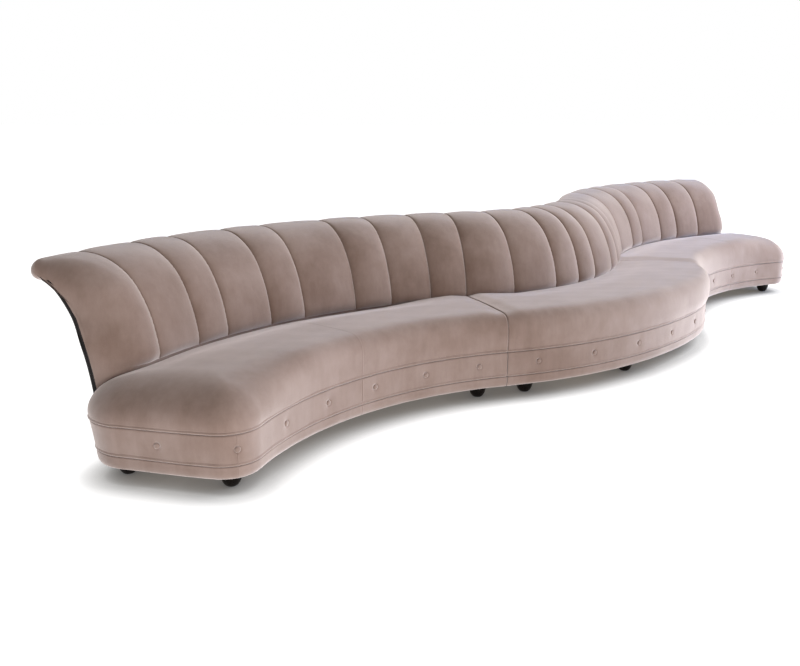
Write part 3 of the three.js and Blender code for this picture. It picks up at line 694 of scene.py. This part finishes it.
def channel_stations(module):
    """Angles along the back, with each one's place in its channel and its distance to a seam."""
    shares = np.array(CHANNEL_SHARES[module.name])
    seams = GAP_ANGLE + shares * (module.last_angle(BACK_END_ANGLE) - GAP_ANGLE)
    shares = 0.5 - 0.5 * np.cos(np.linspace(0, math.pi, CHANNEL_STATIONS + 1))
    angles = np.unique(join([s0 + shares * (s1 - s0) for s0, s1 in zip(seams[:-1], seams[1:])]))
    last_channel = len(seams) - 2
    if module.is_end:
        zone_start = BACK_END_ANGLE - END_ZONE_ANGLE
        x = BACK_END_ZONE * np.linspace(1, 0, ZONE_STATIONS) ** 2
        x[-1] = MODULE_GAP / 2
        angles = join([
            angles[angles < zone_start], [zone_start - ZONE_EDGE],
            BACK_END_ANGLE - x / BACK_RADIUS])
    channel = np.clip(np.searchsorted(seams, angles, side="right") - 1, 0, last_channel)
    width = seams[channel + 1] - seams[channel]
    t = (angles - seams[channel]) / width
    if module.is_end:
        t = np.where(channel == last_channel, np.minimum(t, 0.5), t)
    to_seam = np.minimum(t, 1 - t) * width * BACK_RADIUS
    return angles, channel, clamp(t), to_seam


def place_back(module, angles, section):
    """Points of the back. Near a free end its top leans further out, draws in and drops."""
    along = angles[:, None]
    depth, z = section[..., 0], section[..., 1]
    if module.is_end:
        x = (BACK_END_ANGLE - along) * BACK_RADIUS
        at_end = near(x, END_WARP_REACH)
        rise = clamp((z - SEAT_JUNCTION) / (BACK_TOP - SEAT_JUNCTION))
        depth = depth + END_LEAN * at_end * rise ** 2
        along = along - END_DRAW / BACK_RADIUS * at_end * smoothstep(*DRAW_RISE, rise)
        z = z - END_DROP * near(x, END_DROP_REACH) * smoothstep(*DROP_RISE, rise)
    return module.place(along, SEAT_DEPTH + depth, z)


def make_back_cushion(module):
    angles, channel, t, to_seam = channel_stations(module)
    points, out, crest, partners, of_roll = back_front()
    height = (1 - (2 * t - 1) ** 2) ** CREST_ROOT
    rng = np.random.default_rng(len(module.name))
    fullness = rng.uniform(*CHANNEL_FULLNESS, size=channel.max() + 1)[channel]
    swell = (height * fullness)[:, None] * crest

    # Puckers beside the seams, the seams' own sink and unevenness, all least where crests are low
    down = np.cumsum(join([[0], np.linalg.norm(np.diff(points, axis=0), axis=1)]))
    phase = rng.uniform(0, 2 * math.pi, size=channel.max() + 1)[channel]
    ripple = np.sin(2 * math.pi * down / PUCKER_PITCH + phase[:, None]
                    + PUCKER_DRIFT[0] * np.sin(PUCKER_DRIFT[1] * down))
    swell += PUCKER_DEPTH * ripple * hump(to_seam[:, None] - PUCKER_PLACE, PUCKER_REACH) * (
        crest / CHANNEL_CREST)
    crested_share = clamp(crest / CHANNEL_CREST * 2)
    swell -= (CHANNEL_SEAM_SINK * hump(to_seam, CHANNEL_SEAM_WIDTH))[:, None] * crested_share
    base = module.place(angles[:, None], SEAT_DEPTH + points[None, :, 0], points[None, :, 1])
    swell += waves(base, "back") * crested_share

    # The knob of the roll, and the rounding of the free end towards the partners
    radius = np.linalg.norm(points - partners, axis=1)
    to_end = BACK_END_ANGLE - angles if module.is_end else np.full(len(angles), math.inf)
    x = to_end * BACK_RADIUS
    knob = near(x, KNOB_REACH)[:, None] * of_roll
    shift = knob[..., None] * KNOB_SHIFT
    crested = points + shift + (swell + KNOB_SWELL * knob)[..., None] * out
    partners = partners + shift
    short = clamp(1 - x[:, None] / radius)
    front = partners + np.sqrt(1 - short ** 2)[..., None] * (crested - partners)
    sheet, solid = back_rear()
    rear = np.where(x[:, None, None] < BACK_END_ZONE + TINY, solid[None], sheet[None])
    section = join([front, rear], axis=1)
    piece = loft(f"{module.name}_back", place_back(module, angles, section), VELVET)
    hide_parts(f"{module.name}_back_cushion")


# Seat cushions

WALL_ROWS = 9
EDGE_ROWS = 22
TOP_ROWS = 34
SEAT_STEP = 0.012
ROUND_END_STEPS = 90
# Step and reach of the finer rows beside the module's seams and the cover's seam
SEAT_FINE = (0.0016, 0.014)
COVER_SEAM_FINE = (0.001, 0.008)
# Rows run square across up to this angle, and then to these shares of the back's rounded end
SQUARE_ANGLE = math.radians(40)
RUN_ACROSS_SHARES = (0.35, 0.8)
# Power of the rounding along the front, and how much less it is in the dome
EDGE_POWER = 3
DOME_POWER_LESS = 0.4
DOME_REAR_DEPTHS = (0.3, 0.7)
WALL_FOOT_INSET = 0.0005
EDGE_ROW_POWER = 1.25
EDGE_ROW_REACH = 1.02
EDGE_ROW_SHARE = 0.8
TOP_ROW_POWER = 1.35
REAR_FALL_REACH = 0.26
CREVICE_SHARE = 0.98
SEAM_STILL_REACH = 0.05
COVER_SEAM_RIDGE = 0.001
COVER_SEAM_WIDTH = 0.0024
CREVICE_DEPTHS = np.array([0.004, 0.03, 0.09])


def inner_line(module):
    """Rear edge of the seat along the back and, on an end module, round the back's free end."""
    a = dense_angles(module.last_angle(BACK_END_ANGLE - END_ZONE_ANGLE), BACK_RADIUS)
    points = [module.plan(a, SEAT_DEPTH - SEAT_BACK_GAP)]
    if module.is_end:
        reach = shell_inner(SEAT_JUNCTION, SOFT_GAP)
        phi = np.linspace(QUARTER, 0, ROUND_END_STEPS)
        x = reach * (1 - np.cos(phi))
        depth = reach * (1 - np.sin(phi)) - SEAT_BACK_GAP
        points.append(module.plan(BACK_END_ANGLE - x / BACK_RADIUS, SEAT_DEPTH + depth))
    return Path(join(points))


def dome_share(module, points):
    """How far a plan point belongs to the free end's dome: 0 along the front, 1 at the end."""
    if not module.is_end:
        return np.zeros(points.shape[:-1])
    a, d = module.polar(points)
    return near((END_ANGLE - a) * (FRONT_RADIUS + d), DOME_REACH)


def seat_rise(module, w, dome, d):
    """Height of the seat's rounded edge above its start, at distance w behind the outer edge."""
    depth = FRONT_EDGE_DEPTH + dome * (DOME_DEPTH - FRONT_EDGE_DEPTH)
    rise = FRONT_EDGE_RISE
    if module.is_end:
        rise = rise + dome * (DOME_RISES[module.name] + DOME_START_DROP - FRONT_EDGE_RISE)
        rise = rise - dome * DOME_REAR_DROPS[module.name] * smoothstep(*DOME_REAR_DEPTHS, d)
    power = EDGE_POWER - DOME_POWER_LESS * dome
    root = 1 / (EDGE_POWER - dome)
    return rise * (1 - (1 - clamp(w / depth)) ** power) ** root


def seat_lengths(module, inner):
    """Lengths on the outer edge, and the lengths on the rear edge that they run across to."""
    outer = module.edge
    spots = [0.0] if module.is_end else [0.0, outer.total]
    s = spaced(outer.total, SEAT_STEP, spots, *SEAT_FINE)
    if not module.is_end:
        return s, s * inner.total / outer.total
    seam = FRONT_RADIUS * COVER_SEAMS[module.name]
    s = np.unique(join([s, around(seam, *COVER_SEAM_FINE)]))
    front, corner_end, rear_start = corner_places(module)
    zone = (BACK_END_ANGLE - END_ZONE_ANGLE) * BACK_RADIUS
    round_end = inner.total - zone
    from_lengths = [0, FRONT_RADIUS * SQUARE_ANGLE, front, corner_end, rear_start, outer.total]
    to_lengths = [0, BACK_RADIUS * SQUARE_ANGLE, zone,
                  *[zone + share * round_end for share in RUN_ACROSS_SHARES], inner.total]
    return s, np.interp(s, from_lengths, to_lengths)


def make_seat_cushion(module):
    outer = module.edge
    inner = inner_line(module)
    s, t = seat_lengths(module, inner)
    start, normal, stop = outer.point(s), outer.normal(s), inner.point(t)
    bulge = SEAT_BULGE + (DOME_BULGE - SEAT_BULGE) * dome_share(module, start)
    if not module.is_end:
        bulge = bulge + MIDDLE_SEAT_FULLNESS * fullness_share(module.polar(start)[0])
    length = np.linalg.norm(stop - start, axis=1)

    # Upright wall of the edge, leaning out from the piping to the start of the rounding
    low = SEAT_BOTTOM + LAYER_GAP
    lean = np.linspace(0, 1, WALL_ROWS)[:-1]
    edge_start = SEAT_EDGE_START - DOME_START_DROP * dome_share(module, start)
    wall_z = low + (edge_start - SEAT_BOTTOM - LAYER_GAP)[:, None] * lean
    wall_out = bulge[:, None] * np.sin(QUARTER * lean) - WALL_FOOT_INSET * (1 - lean)
    wall_xy = start[:, None] + wall_out[..., None] * normal[:, None]
    wall = join([wall_xy, wall_z[..., None]], axis=2)

    # Rounded edge and top: rows across to the rear edge, close together where it is steep
    phi = QUARTER * np.linspace(0, 1, EDGE_ROWS) ** EDGE_ROW_POWER
    edge_rows = FRONT_EDGE_DEPTH * EDGE_ROW_REACH * (1 - np.cos(phi) ** (2 / 3))
    squeeze = np.minimum(1, EDGE_ROW_SHARE * length / FRONT_EDGE_DEPTH)[:, None]
    edge_rows = edge_rows[None] * squeeze / length[:, None]
    beyond = 1 - (1 - np.linspace(0, 1, TOP_ROWS + 1)[1:]) ** TOP_ROW_POWER
    top_rows = edge_rows[:, -1:] + beyond[None] * (1 - edge_rows[:, -1:])
    g = join([edge_rows, top_rows], axis=1)
    brink = start + bulge[:, None] * normal
    top_xy = brink[:, None] + g[..., None] * (stop - brink)[:, None]
    w = np.maximum(outer.distance_inside(top_xy) + bulge[:, None], 0)
    w[:, 0] = 0
    dome = dome_share(module, top_xy)
    rise = seat_rise(module, w, dome, module.polar(top_xy)[1])
    top_z = SEAT_EDGE_START - DOME_START_DROP * dome + rise
    to_back = (1 - g) * length[:, None]
    to_seam = seam_distance(module, s)
    away = smoothstep(0, SEAM_FALL_REACH, to_seam)
    fall = SEAM_REAR_FALL + (SEAT_REAR_FALLS[module.name] - SEAM_REAR_FALL) * away
    top_z -= fall[:, None] * near(to_back, REAR_FALL_REACH) * (1 - dome)
    top_z -= SEAT_CREVICE_ROUND * rounding(to_back, SEAT_CREVICE_ROUND, CREVICE_SHARE)
    top = join([top_xy, top_z[..., None]], axis=2)

    # Softness: gentle unevenness, the cover's seam, and a slight dip towards the module's seam
    lift = join([np.zeros(WALL_ROWS - 1), np.sin(phi), np.ones(TOP_ROWS)])
    outward = join([normal[:, None] * (1 - lift)[None, :, None],
                    np.broadcast_to(lift[None, :, None], (len(s), len(lift), 1))], axis=2)
    surface = join([wall, top], axis=1)
    soft = waves(surface, "seat") + waves(surface, "seat_fine")
    soft *= clamp(to_seam / SEAM_STILL_REACH)[:, None]
    round_off = SEAT_SEAM_ROUND * rounding(to_seam, SEAT_SEAM_ROUND)
    soft -= (round_off + SEAM_CREVICE * (to_seam < TINY))[:, None]
    soft -= SEAT_SEAM_DIP * near(to_seam, SEAT_SEAM_DIP_REACH)[:, None] * lift ** 2
    if module.is_end:
        from_seam = s - FRONT_RADIUS * COVER_SEAMS[module.name]
        soft += COVER_SEAM_RIDGE * hump(from_seam, COVER_SEAM_WIDTH)[:, None]
    soft[:, 0] = np.minimum(soft[:, 0], 0)
    surface = surface + soft[..., None] * outward

    # Down into the crevice beside the back, and flat underneath
    down = np.repeat(surface[:, -1:], 4, axis=1)
    down[:, :3, 2] -= CREVICE_DEPTHS
    down[:, 3, 2] = low
    piece = loft(f"{module.name}_seat", join([surface, down], axis=1), VELVET)
    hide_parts(f"{module.name}_seat_cushion")


# Bands round the base

BUTTON_BAND_ROWS = 36
BASE_BAND_ROWS = 16
BASE_BAND_ROW_POWER = 1.2
BASE_BAND_TOP_ROWS = 12
BAND_STEP = 0.012
BAND_SEAM_FINE = (0.001, 0.007)
BAND_PUFF = 0.0012
BAND_PUFF_POWER = 4
BAND_LEAN = 0.02
BAND_EDGE_TURN = 0.014
BAND_EDGE_REACH = 0.0055
BAND_EDGE_GAP = 0.0024
SEAM_ROUND = 0.006
SEAM_GAP_DEPTH = 0.02
SEAM_GROOVE = 0.0015
# Ridge at a seam of the cover, as height and width, and its groove, as depth, width and place
RIDGE = (0.0010, 0.0020)
GROOVE = (0.0012, 0.0011, 0.0036)
# Dimple round a button: depth and reach of its pit and pull; height, radius and reach of folds
PIT = (0.0060, 0.0155)
PULL = (0.0022, 0.034)
FOLDS = (0.0005, 0.028, 0.014)
# Finer rows round a button: step and reach along the band and up it, and share of its height
BUTTON_FINE = (0.0018, 0.045)
BUTTON_ROWS_FINE = (0.0015, 0.021)
BUTTON_ROWS_SHARE = 0.18
BASE_TUCK = 0.025
BASE_ROUND = 0.03
END_SHARE_REACH = 0.15
END_BASE_TUCK = 0.036
END_BAND_DEPTH = 0.012
END_BASE_ROUND = 0.044
PANEL_INSET = 0.048
PANEL_THICKNESS = 0.012
PANEL_OVERLAP = 0.001
END_RAIL_INSET = 0.05
END_RAIL_THICKNESS = 0.025
END_RAIL_TRIM = 0.004
END_RAIL_GAPS = (0.001, 0.0006)


def cover_seam_lengths(module):
    if not module.is_end:
        return []
    return [FRONT_RADIUS * COVER_SEAMS[module.name], button_lengths(module)[-2]]


def band_lengths(module, s):
    """The given lengths and closer ones beside the seams of the cover and the module."""
    seams = [0.0, *cover_seam_lengths(module)] + ([] if module.is_end else [module.edge.total])
    s = np.unique(join([s, *[around(seam, *BAND_SEAM_FINE) for seam in seams]]))
    return s[(s >= 0) & (s <= module.edge.total)]


def seam_distance(module, s):
    return s if module.is_end else np.minimum(s, module.edge.total - s)


def end_share(module, s):
    """How far a place belongs to the free end: 0 along the front, 1 at the rear corner."""
    if not module.is_end:
        return np.zeros_like(s)
    return smoothstep(corner_places(module)[0], module.edge.total - END_SHARE_REACH, s)


def band_lean(module, s, z):
    """How far the bands of a free end lean in towards the floor."""
    share = end_share(module, s)[:, None]
    return BAND_LEAN * share * clamp((SEAT_BOTTOM - z) / (SEAT_BOTTOM - BAND_SPLIT))


def band_back(module, s):
    """How far the hidden back of a band lies behind the outer edge."""
    return BAND_THICKNESS + END_BAND_DEPTH * end_share(module, s)[:, None]


def band_rings(module, s, inset, z):
    """Rings across a band at the lengths s: inset and z are arrays of one row for each length."""
    xy = module.edge.point(s)[:, None] - inset[..., None] * module.edge.normal(s)[:, None]
    return join([xy, z[..., None]], axis=2)


def seam_ridge(module, s):
    """How far a band's face stands out at the seams of its cover."""
    ridge = np.zeros_like(s)
    for spot in cover_seam_lengths(module):
        ridge += RIDGE[0] * hump(s - spot, RIDGE[1])
        ridge -= GROOVE[0] * hump(s - spot - GROOVE[2], GROOVE[1])
    return ridge


def end_round(module, s, gap_depth=SEAM_GAP_DEPTH):
    """How far a band's face draws in at the module's seams, which end in a narrow dark gap."""
    to_seam = seam_distance(module, s)
    return SEAM_ROUND * rounding(to_seam, SEAM_ROUND) + gap_depth * (to_seam < SEAM_GROOVE)


def edge_turn(distance):
    """How far a band turns in beside a piping, which leaves a narrow dark line there."""
    return BAND_EDGE_TURN * rounding(distance - BAND_EDGE_GAP, BAND_EDGE_REACH)


def make_button_band(module):
    buttons = button_lengths(module)
    s = band_lengths(module, spaced(module.edge.total, BAND_STEP, buttons, *BUTTON_FINE))
    top = SEAT_BOTTOM - LAYER_GAP
    middle = (BAND_SPLIT + top) / 2
    step, reach = BUTTON_ROWS_FINE
    v = 0.5 - 0.5 * np.cos(np.linspace(0, math.pi, BUTTON_BAND_ROWS))
    beside_button = 0.5 + np.arange(-reach, reach + step / 2, step) / (top - BAND_SPLIT)
    v = np.unique(join([v[np.abs(v - 0.5) > BUTTON_ROWS_SHARE], beside_button]))
    z = BAND_SPLIT + v * (top - BAND_SPLIT)
    turn = edge_turn(top - z)
    z = np.broadcast_to(z, (len(s), len(z)))
    puff = BAND_PUFF * np.sqrt(clamp(1 - (2 * v - 1) ** BAND_PUFF_POWER))
    inset = np.tile(turn - puff, (len(s), 1))
    for spot in buttons:
        across, up = (s - spot)[:, None], z - middle
        r = np.hypot(across, up)
        inset += PIT[0] * np.exp(-(r / PIT[1]) ** 4) + PULL[0] * hump(r, PULL[1])
        inset -= FOLDS[0] * np.cos(2 * np.arctan2(up, across)) * hump(r - FOLDS[1], FOLDS[2])
    inset += waves(band_rings(module, s, inset, z), "button_band")
    inset += (end_round(module, s) - seam_ridge(module, s))[:, None]
    inset += band_lean(module, s, z)
    back = band_back(module, s)
    inset = join([back, inset, back], axis=1)
    z = join([z[:, :1], z, z[:, -1:]], axis=1)
    piece = loft(f"{module.name}_upper_band", band_rings(module, s, inset, z), VELVET)
    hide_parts(f"{module.name}_button_band")


def make_base_band(module):
    s = band_lengths(module, spaced(module.edge.total, BAND_STEP))
    top = BAND_SPLIT - LAYER_GAP
    z = FOOT_HEIGHT + (top - FOOT_HEIGHT) * (
        np.linspace(0, 1, BASE_BAND_ROWS) ** BASE_BAND_ROW_POWER)
    z = np.unique(join([
        z, top - (BAND_EDGE_GAP + BAND_EDGE_REACH) * np.linspace(0, 1, BASE_BAND_TOP_ROWS)]))
    turn = edge_turn(top - z)
    share = end_share(module, s)[:, None]
    tuck_depth = BASE_TUCK + share * (END_BASE_TUCK - BASE_TUCK)
    tuck_height = BASE_ROUND + share * (END_BASE_ROUND - BASE_ROUND)
    tuck = rounding(z - FOOT_HEIGHT, tuck_height)
    z = np.broadcast_to(z, (len(s), len(z)))
    lean = band_lean(module, s, z)
    inset = turn + lean + (tuck_depth - lean) * tuck
    inset += waves(band_rings(module, s, inset, z), "base_band")
    inset += (end_round(module, s) - seam_ridge(module, s))[:, None]
    back = band_back(module, s)
    above_panel = np.full_like(back, FOOT_HEIGHT + PANEL_THICKNESS - PANEL_OVERLAP)
    inset = join([back, inset, back, back], axis=1)
    z = join([z[:, :1], z, z[:, -1:], above_panel], axis=1)
    piece = loft(f"{module.name}_lower_band", band_rings(module, s, inset, z), VELVET)
    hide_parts(f"{module.name}_base_band")


CORD_SWELL = 0.05
CORD_SWELL_PITCH = 190


def make_piping(module):
    """Two cords sewn along the edge, under the seat and between the bands.

    The cover runs on smoothly over the top of each cord, and ends in a narrow gap below it.
    """
    s = spaced(module.edge.total, BAND_STEP)
    below = np.linspace(-QUARTER, 0, 6)
    above = np.linspace(0, 1, 8)[1:]
    out = CORD_RADIUS * join([[-1], np.cos(below), np.cos(QUARTER * above) ** 2, [-1]])
    up = join([[-CORD_RADIUS], CORD_RADIUS * np.sin(below), CORD_FLARE * above, [CORD_FLARE]])
    swell = 1 + CORD_SWELL * np.sin(s * CORD_SWELL_PITCH)
    inset = -swell[:, None] * out + end_round(module, s, gap_depth=0)[:, None]
    sets = []
    for height in (SEAT_BOTTOM, BAND_SPLIT):
        z = height + CORD_LIFT + swell[:, None] * up
        sets.append(band_rings(module, s, inset + band_lean(module, s, z), z))
    joined_lofts(f"{module.name}_piping", sets, VELVET)


# Section of a button from its hidden back to its middle: radius and height in button radii
BUTTON_PROFILE = [
    (0.55, -0.6), (0.95, -0.35), (1.0, 0.0), (0.9, 0.28), (0.7, 0.42), (0.45, 0.46), (0.2, 0.48)]
BUTTON_FLATTENING = 0.9
BUTTON_SIDES = 24


def make_buttons(module):
    """Covered buttons, each a low dome with a rolled rim, sunk into the band."""
    middle = (BAND_SPLIT + SEAT_BOTTOM) / 2
    turn = full_turn(BUTTON_SIDES)
    sets = []
    for spot in button_lengths(module):
        lean = band_lean(module, np.array([spot]), np.array([[middle]])).item()
        out = module.edge.normal(spot)
        place = module.edge.point(spot) - lean * out
        side = np.array([-out[1], out[0]])
        rings = []
        for reach, height in BUTTON_PROFILE:
            r = reach * BUTTON_RADIUS
            forward = height * BUTTON_RADIUS * BUTTON_FLATTENING - BUTTON_SINK
            xy = place + forward * out + (r * np.cos(turn))[:, None] * side
            rings.append(np.column_stack([xy, middle + r * np.sin(turn)]))
        sets.append(np.array(rings))
    joined_lofts(f"{module.name}_buttons", sets, VELVET)


def make_base_board(module):
    """The board under the module, a little smaller than its bands."""
    s = np.linspace(0, module.edge.total, 140)
    a = np.linspace(module.last_angle(BACK_END_ANGLE - PANEL_INSET / BACK_RADIUS), GAP_ANGLE, 100)
    rear = module.plan(a, SEAT_DEPTH + shell_inner(FOOT_HEIGHT, SOFT_GAP))
    outline = join([module.edge.point(s) - PANEL_INSET * module.edge.normal(s), rear])
    low = FOOT_HEIGHT + LAYER_GAP
    rings = np.array([np.column_stack([outline, np.full(len(outline), z)])
                      for z in (low, low + PANEL_THICKNESS)])
    piece = loft(f"{module.name}_base_board", rings, BOARD)
    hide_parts(f"{module.name}_base_panel")


def make_end_rail(module):
    """The rail behind the bands of the free end, which follows the scene's fuller rear corner."""
    _, first, last = corner_places(module)
    s = np.linspace(first + END_RAIL_TRIM, last - END_RAIL_TRIM, 60)
    low = FOOT_HEIGHT + PANEL_THICKNESS + END_RAIL_GAPS[0]
    high = SEAT_BOTTOM - PANEL_THICKNESS - END_RAIL_GAPS[1]
    outer, inner = END_RAIL_INSET, END_RAIL_INSET + END_RAIL_THICKNESS
    inset = np.tile([inner, outer, outer, inner], (len(s), 1))
    z = np.tile([low, low, high, high], (len(s), 1))
    rings = band_rings(module, s, inset, z)
    piece = loft(f"{module.name}_end_rail_shaped", rings, TIMBER)
    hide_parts(f"{module.name}_end_rail")


# Lacquered shell and feet

SHELL_ROWS = 30
SHELL_STEPS = 90
SHELL_BEVEL = 0.0025
SHELL_END_LIFT = 0.014
SHELL_LIFT_REACH = 0.05
SHELL_LIFT_START = 0.8


def make_shell(module):
    last = BACK_END_ANGLE if module.is_end else SEAM_ANGLE
    a = np.linspace(GAP_ANGLE, last - GAP_ANGLE, SHELL_STEPS)
    z = np.linspace(FOOT_HEIGHT, SHELL_TOP[1], SHELL_ROWS)
    outer = np.interp(z, SHELL_LINE[:, 1], SHELL_LINE[:, 0])
    section = join([np.stack([outer, z], axis=-1), np.stack([shell_inner(z), z], axis=-1)[::-1]])
    middle = 0.5 * (section + section[::-1])
    narrow = section - (section - middle) * SHELL_BEVEL / (SHELL_THICKNESS / 2)
    bevel = SHELL_BEVEL / BACK_RADIUS
    angles = join([[a[0], a[0] + bevel], a[1:-1], [a[-1] - bevel, a[-1]]])
    sections = np.array([narrow] + [section] * (len(angles) - 2) + [narrow])
    if module.is_end:
        at_end = near((BACK_END_ANGLE - angles) * BACK_RADIUS, SHELL_LIFT_REACH)
        top = smoothstep(SHELL_LIFT_START, 1, sections[..., 1] / SHELL_TOP[1])
        sections[..., 1] += SHELL_END_LIFT * at_end[:, None] * top
    piece = loft(f"{module.name}_shell", place_back(module, angles, sections), LACQUER)
    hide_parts(f"{module.name}_back_shell")


# Section of a foot from the floor up: radius in FOOT_RADIUS and height in FOOT_HEIGHT
FOOT_PROFILE = [
    (0.002, 0.0), (0.86, 0.0), (0.95, 0.008), (1.06, 0.03), (1.30, 0.10), (1.56, 0.22),
    (1.75, 0.36), (1.89, 0.52), (1.98, 0.66), (2.03, 0.78), (2.04, 0.84), (2.04, 0.985),
    (2.00, 0.998), (0.002, 0.998)]
FOOT_SIDES = 48
FOOT_RADIUS = 0.023


def make_foot(node):
    low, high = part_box(node)
    x, y = (low.x + high.x) / 2, (low.y + high.y) / 2
    turn = full_turn(FOOT_SIDES)
    rings = np.array([
        np.stack([x + r * FOOT_RADIUS * np.cos(turn), y + r * FOOT_RADIUS * np.sin(turn),
                  np.full(FOOT_SIDES, h * FOOT_HEIGHT)], axis=-1)
        for r, h in FOOT_PROFILE])
    piece = loft(f"{node}_turned", rings, LACQUER)
    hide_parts(node)


for module in MODULES:
    make_back_cushion(module)
    make_seat_cushion(module)
    make_button_band(module)
    make_base_band(module)
    make_base_board(module)
    if module.is_end:
        make_end_rail(module)
    make_piping(module)
    make_buttons(module)
    make_shell(module)
for node in sorted(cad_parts):
    if "foot" in node:
        make_foot(node)

# The parts of the frame that are shown as they are
FINISHES = {"rail": TIMBER, "rib": BOARD, "deck": BOARD, "connector": STEEL}
for name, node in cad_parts.items():
    for word, material in FINISHES.items():
        if word in name:
            node.data.materials.clear()
            node.data.materials.append(material)


# Floor, backdrop and light

FLOOR_SIZE = 200
FLOOR_TONE = (0.3, 0.3, 0.3, 1)
FLOOR_GLOW = 1.1
# Reach, power and least level of the painted shadow in the floor's glow
FLOOR_PAINTED_SHADOW_REACH = 0.16
FLOOR_PAINTED_SHADOW_POWER = 2.0
FLOOR_PAINTED_SHADOW_LEVEL = 0.04
WORLD_LIGHT = 0.04
WORLD_TONE = (0.98, 0.985, 1.0, 1)
WHITE = (1, 1, 1, 1)


def make_floor():
    """A white floor whose even glow is dimmed by a painted shadow under and beside the sofa, and
    which takes the lamps' shadows.
    """
    n = Nodes(bpy.data.materials.new("floor"))
    n.finish(Base_Color=FLOOR_TONE, Roughness=0.9, Specular_IOR_Level=0.1)
    # Painted shadow: ambient occlusion dims the floor's glow near the sofa
    openness = n.add("ShaderNodeAmbientOcclusion", Distance=FLOOR_PAINTED_SHADOW_REACH)["AO"]
    painted_shadow = n.apply("ShaderNodeMath", openness, FLOOR_PAINTED_SHADOW_POWER, operation="POWER")
    glow_under_painted_shadow = n.apply(
        "ShaderNodeMath", painted_shadow, FLOOR_GLOW, FLOOR_PAINTED_SHADOW_LEVEL, operation="MULTIPLY_ADD")
    glow_with_painted_shadow = n.apply("ShaderNodeEmission", WHITE, glow_under_painted_shadow)
    total = n.apply("ShaderNodeAddShader", n.nodes["Principled BSDF"].outputs[0], glow_with_painted_shadow)
    n.fill(n.nodes["Material Output"], Surface=total)
    half = FLOOR_SIZE / 2
    mesh = bpy.data.meshes.new("floor")
    mesh.from_pydata([(-half, -half, 0), (half, -half, 0), (half, half, 0), (-half, half, 0)], [],
                     [(0, 1, 2, 3)])
    mesh.materials.append(n.owner)
    floor = add_object("floor", mesh)


def make_world():
    """A dim, even light that looks white to the camera and in gloss."""
    n = Nodes(bpy.data.worlds.new("studio"))
    dim = n.apply("ShaderNodeBackground", WORLD_TONE, WORLD_LIGHT)
    white = n.apply("ShaderNodeBackground", WHITE, 1)
    rays = n.add("ShaderNodeLightPath")
    seen = n.apply(
        "ShaderNodeMath", rays["Is Camera Ray"], rays["Is Glossy Ray"], operation="MAXIMUM")
    n.fill(n.nodes["World Output"], Surface=n.apply("ShaderNodeMixShader", seen, dim, white))
    bpy.context.scene.world = n.owner


make_floor()
make_world()

# Lamps
for name, place, aim, size, power, colour in (
        ("overhead", (0.5, 0.8, 4.5), (0, 0, 0), (9, 4), 50, (1, 0.75, 0.45)),
        ("key", (5.0, -3.5, 4.0), (-0.5, 0, 0.4), (5, 3), 460, (0.98, 0.98, 1)),
        ("front", (5.0, -6.5, 2.6), (0.5, 0, 0.3), (6, 3), 75, (0.92, 0.95, 1)),
        ("low", (-4.5, -4.5, 0.7), (-2.5, 0, 0.3), (3, 1.2), 130, (1, 0.98, 0.95)),
        ("left", (-7.5, -4.5, 3.0), (-1, 0, 0.3), (4, 3), 60, (1, 0.9, 0.8)),
        ("right", (5.2, -2.8, 1.4), (2.7, -0.1, 0.3), (1.6, 1.0), 60, (0.25, 0.5, 1))):
    data = bpy.data.lights.new(name, "AREA")
    data.shape = "RECTANGLE"
    data.size, data.size_y = size
    data.energy = power
    data.color = colour
    lamp = add_object(name, data)
    lamp.location = place
    lamp.rotation_euler = (Vector(aim) - Vector(place)).to_track_quat("-Z", "Y").to_euler()
bpy.context.scene.view_settings.view_transform = "Standard"
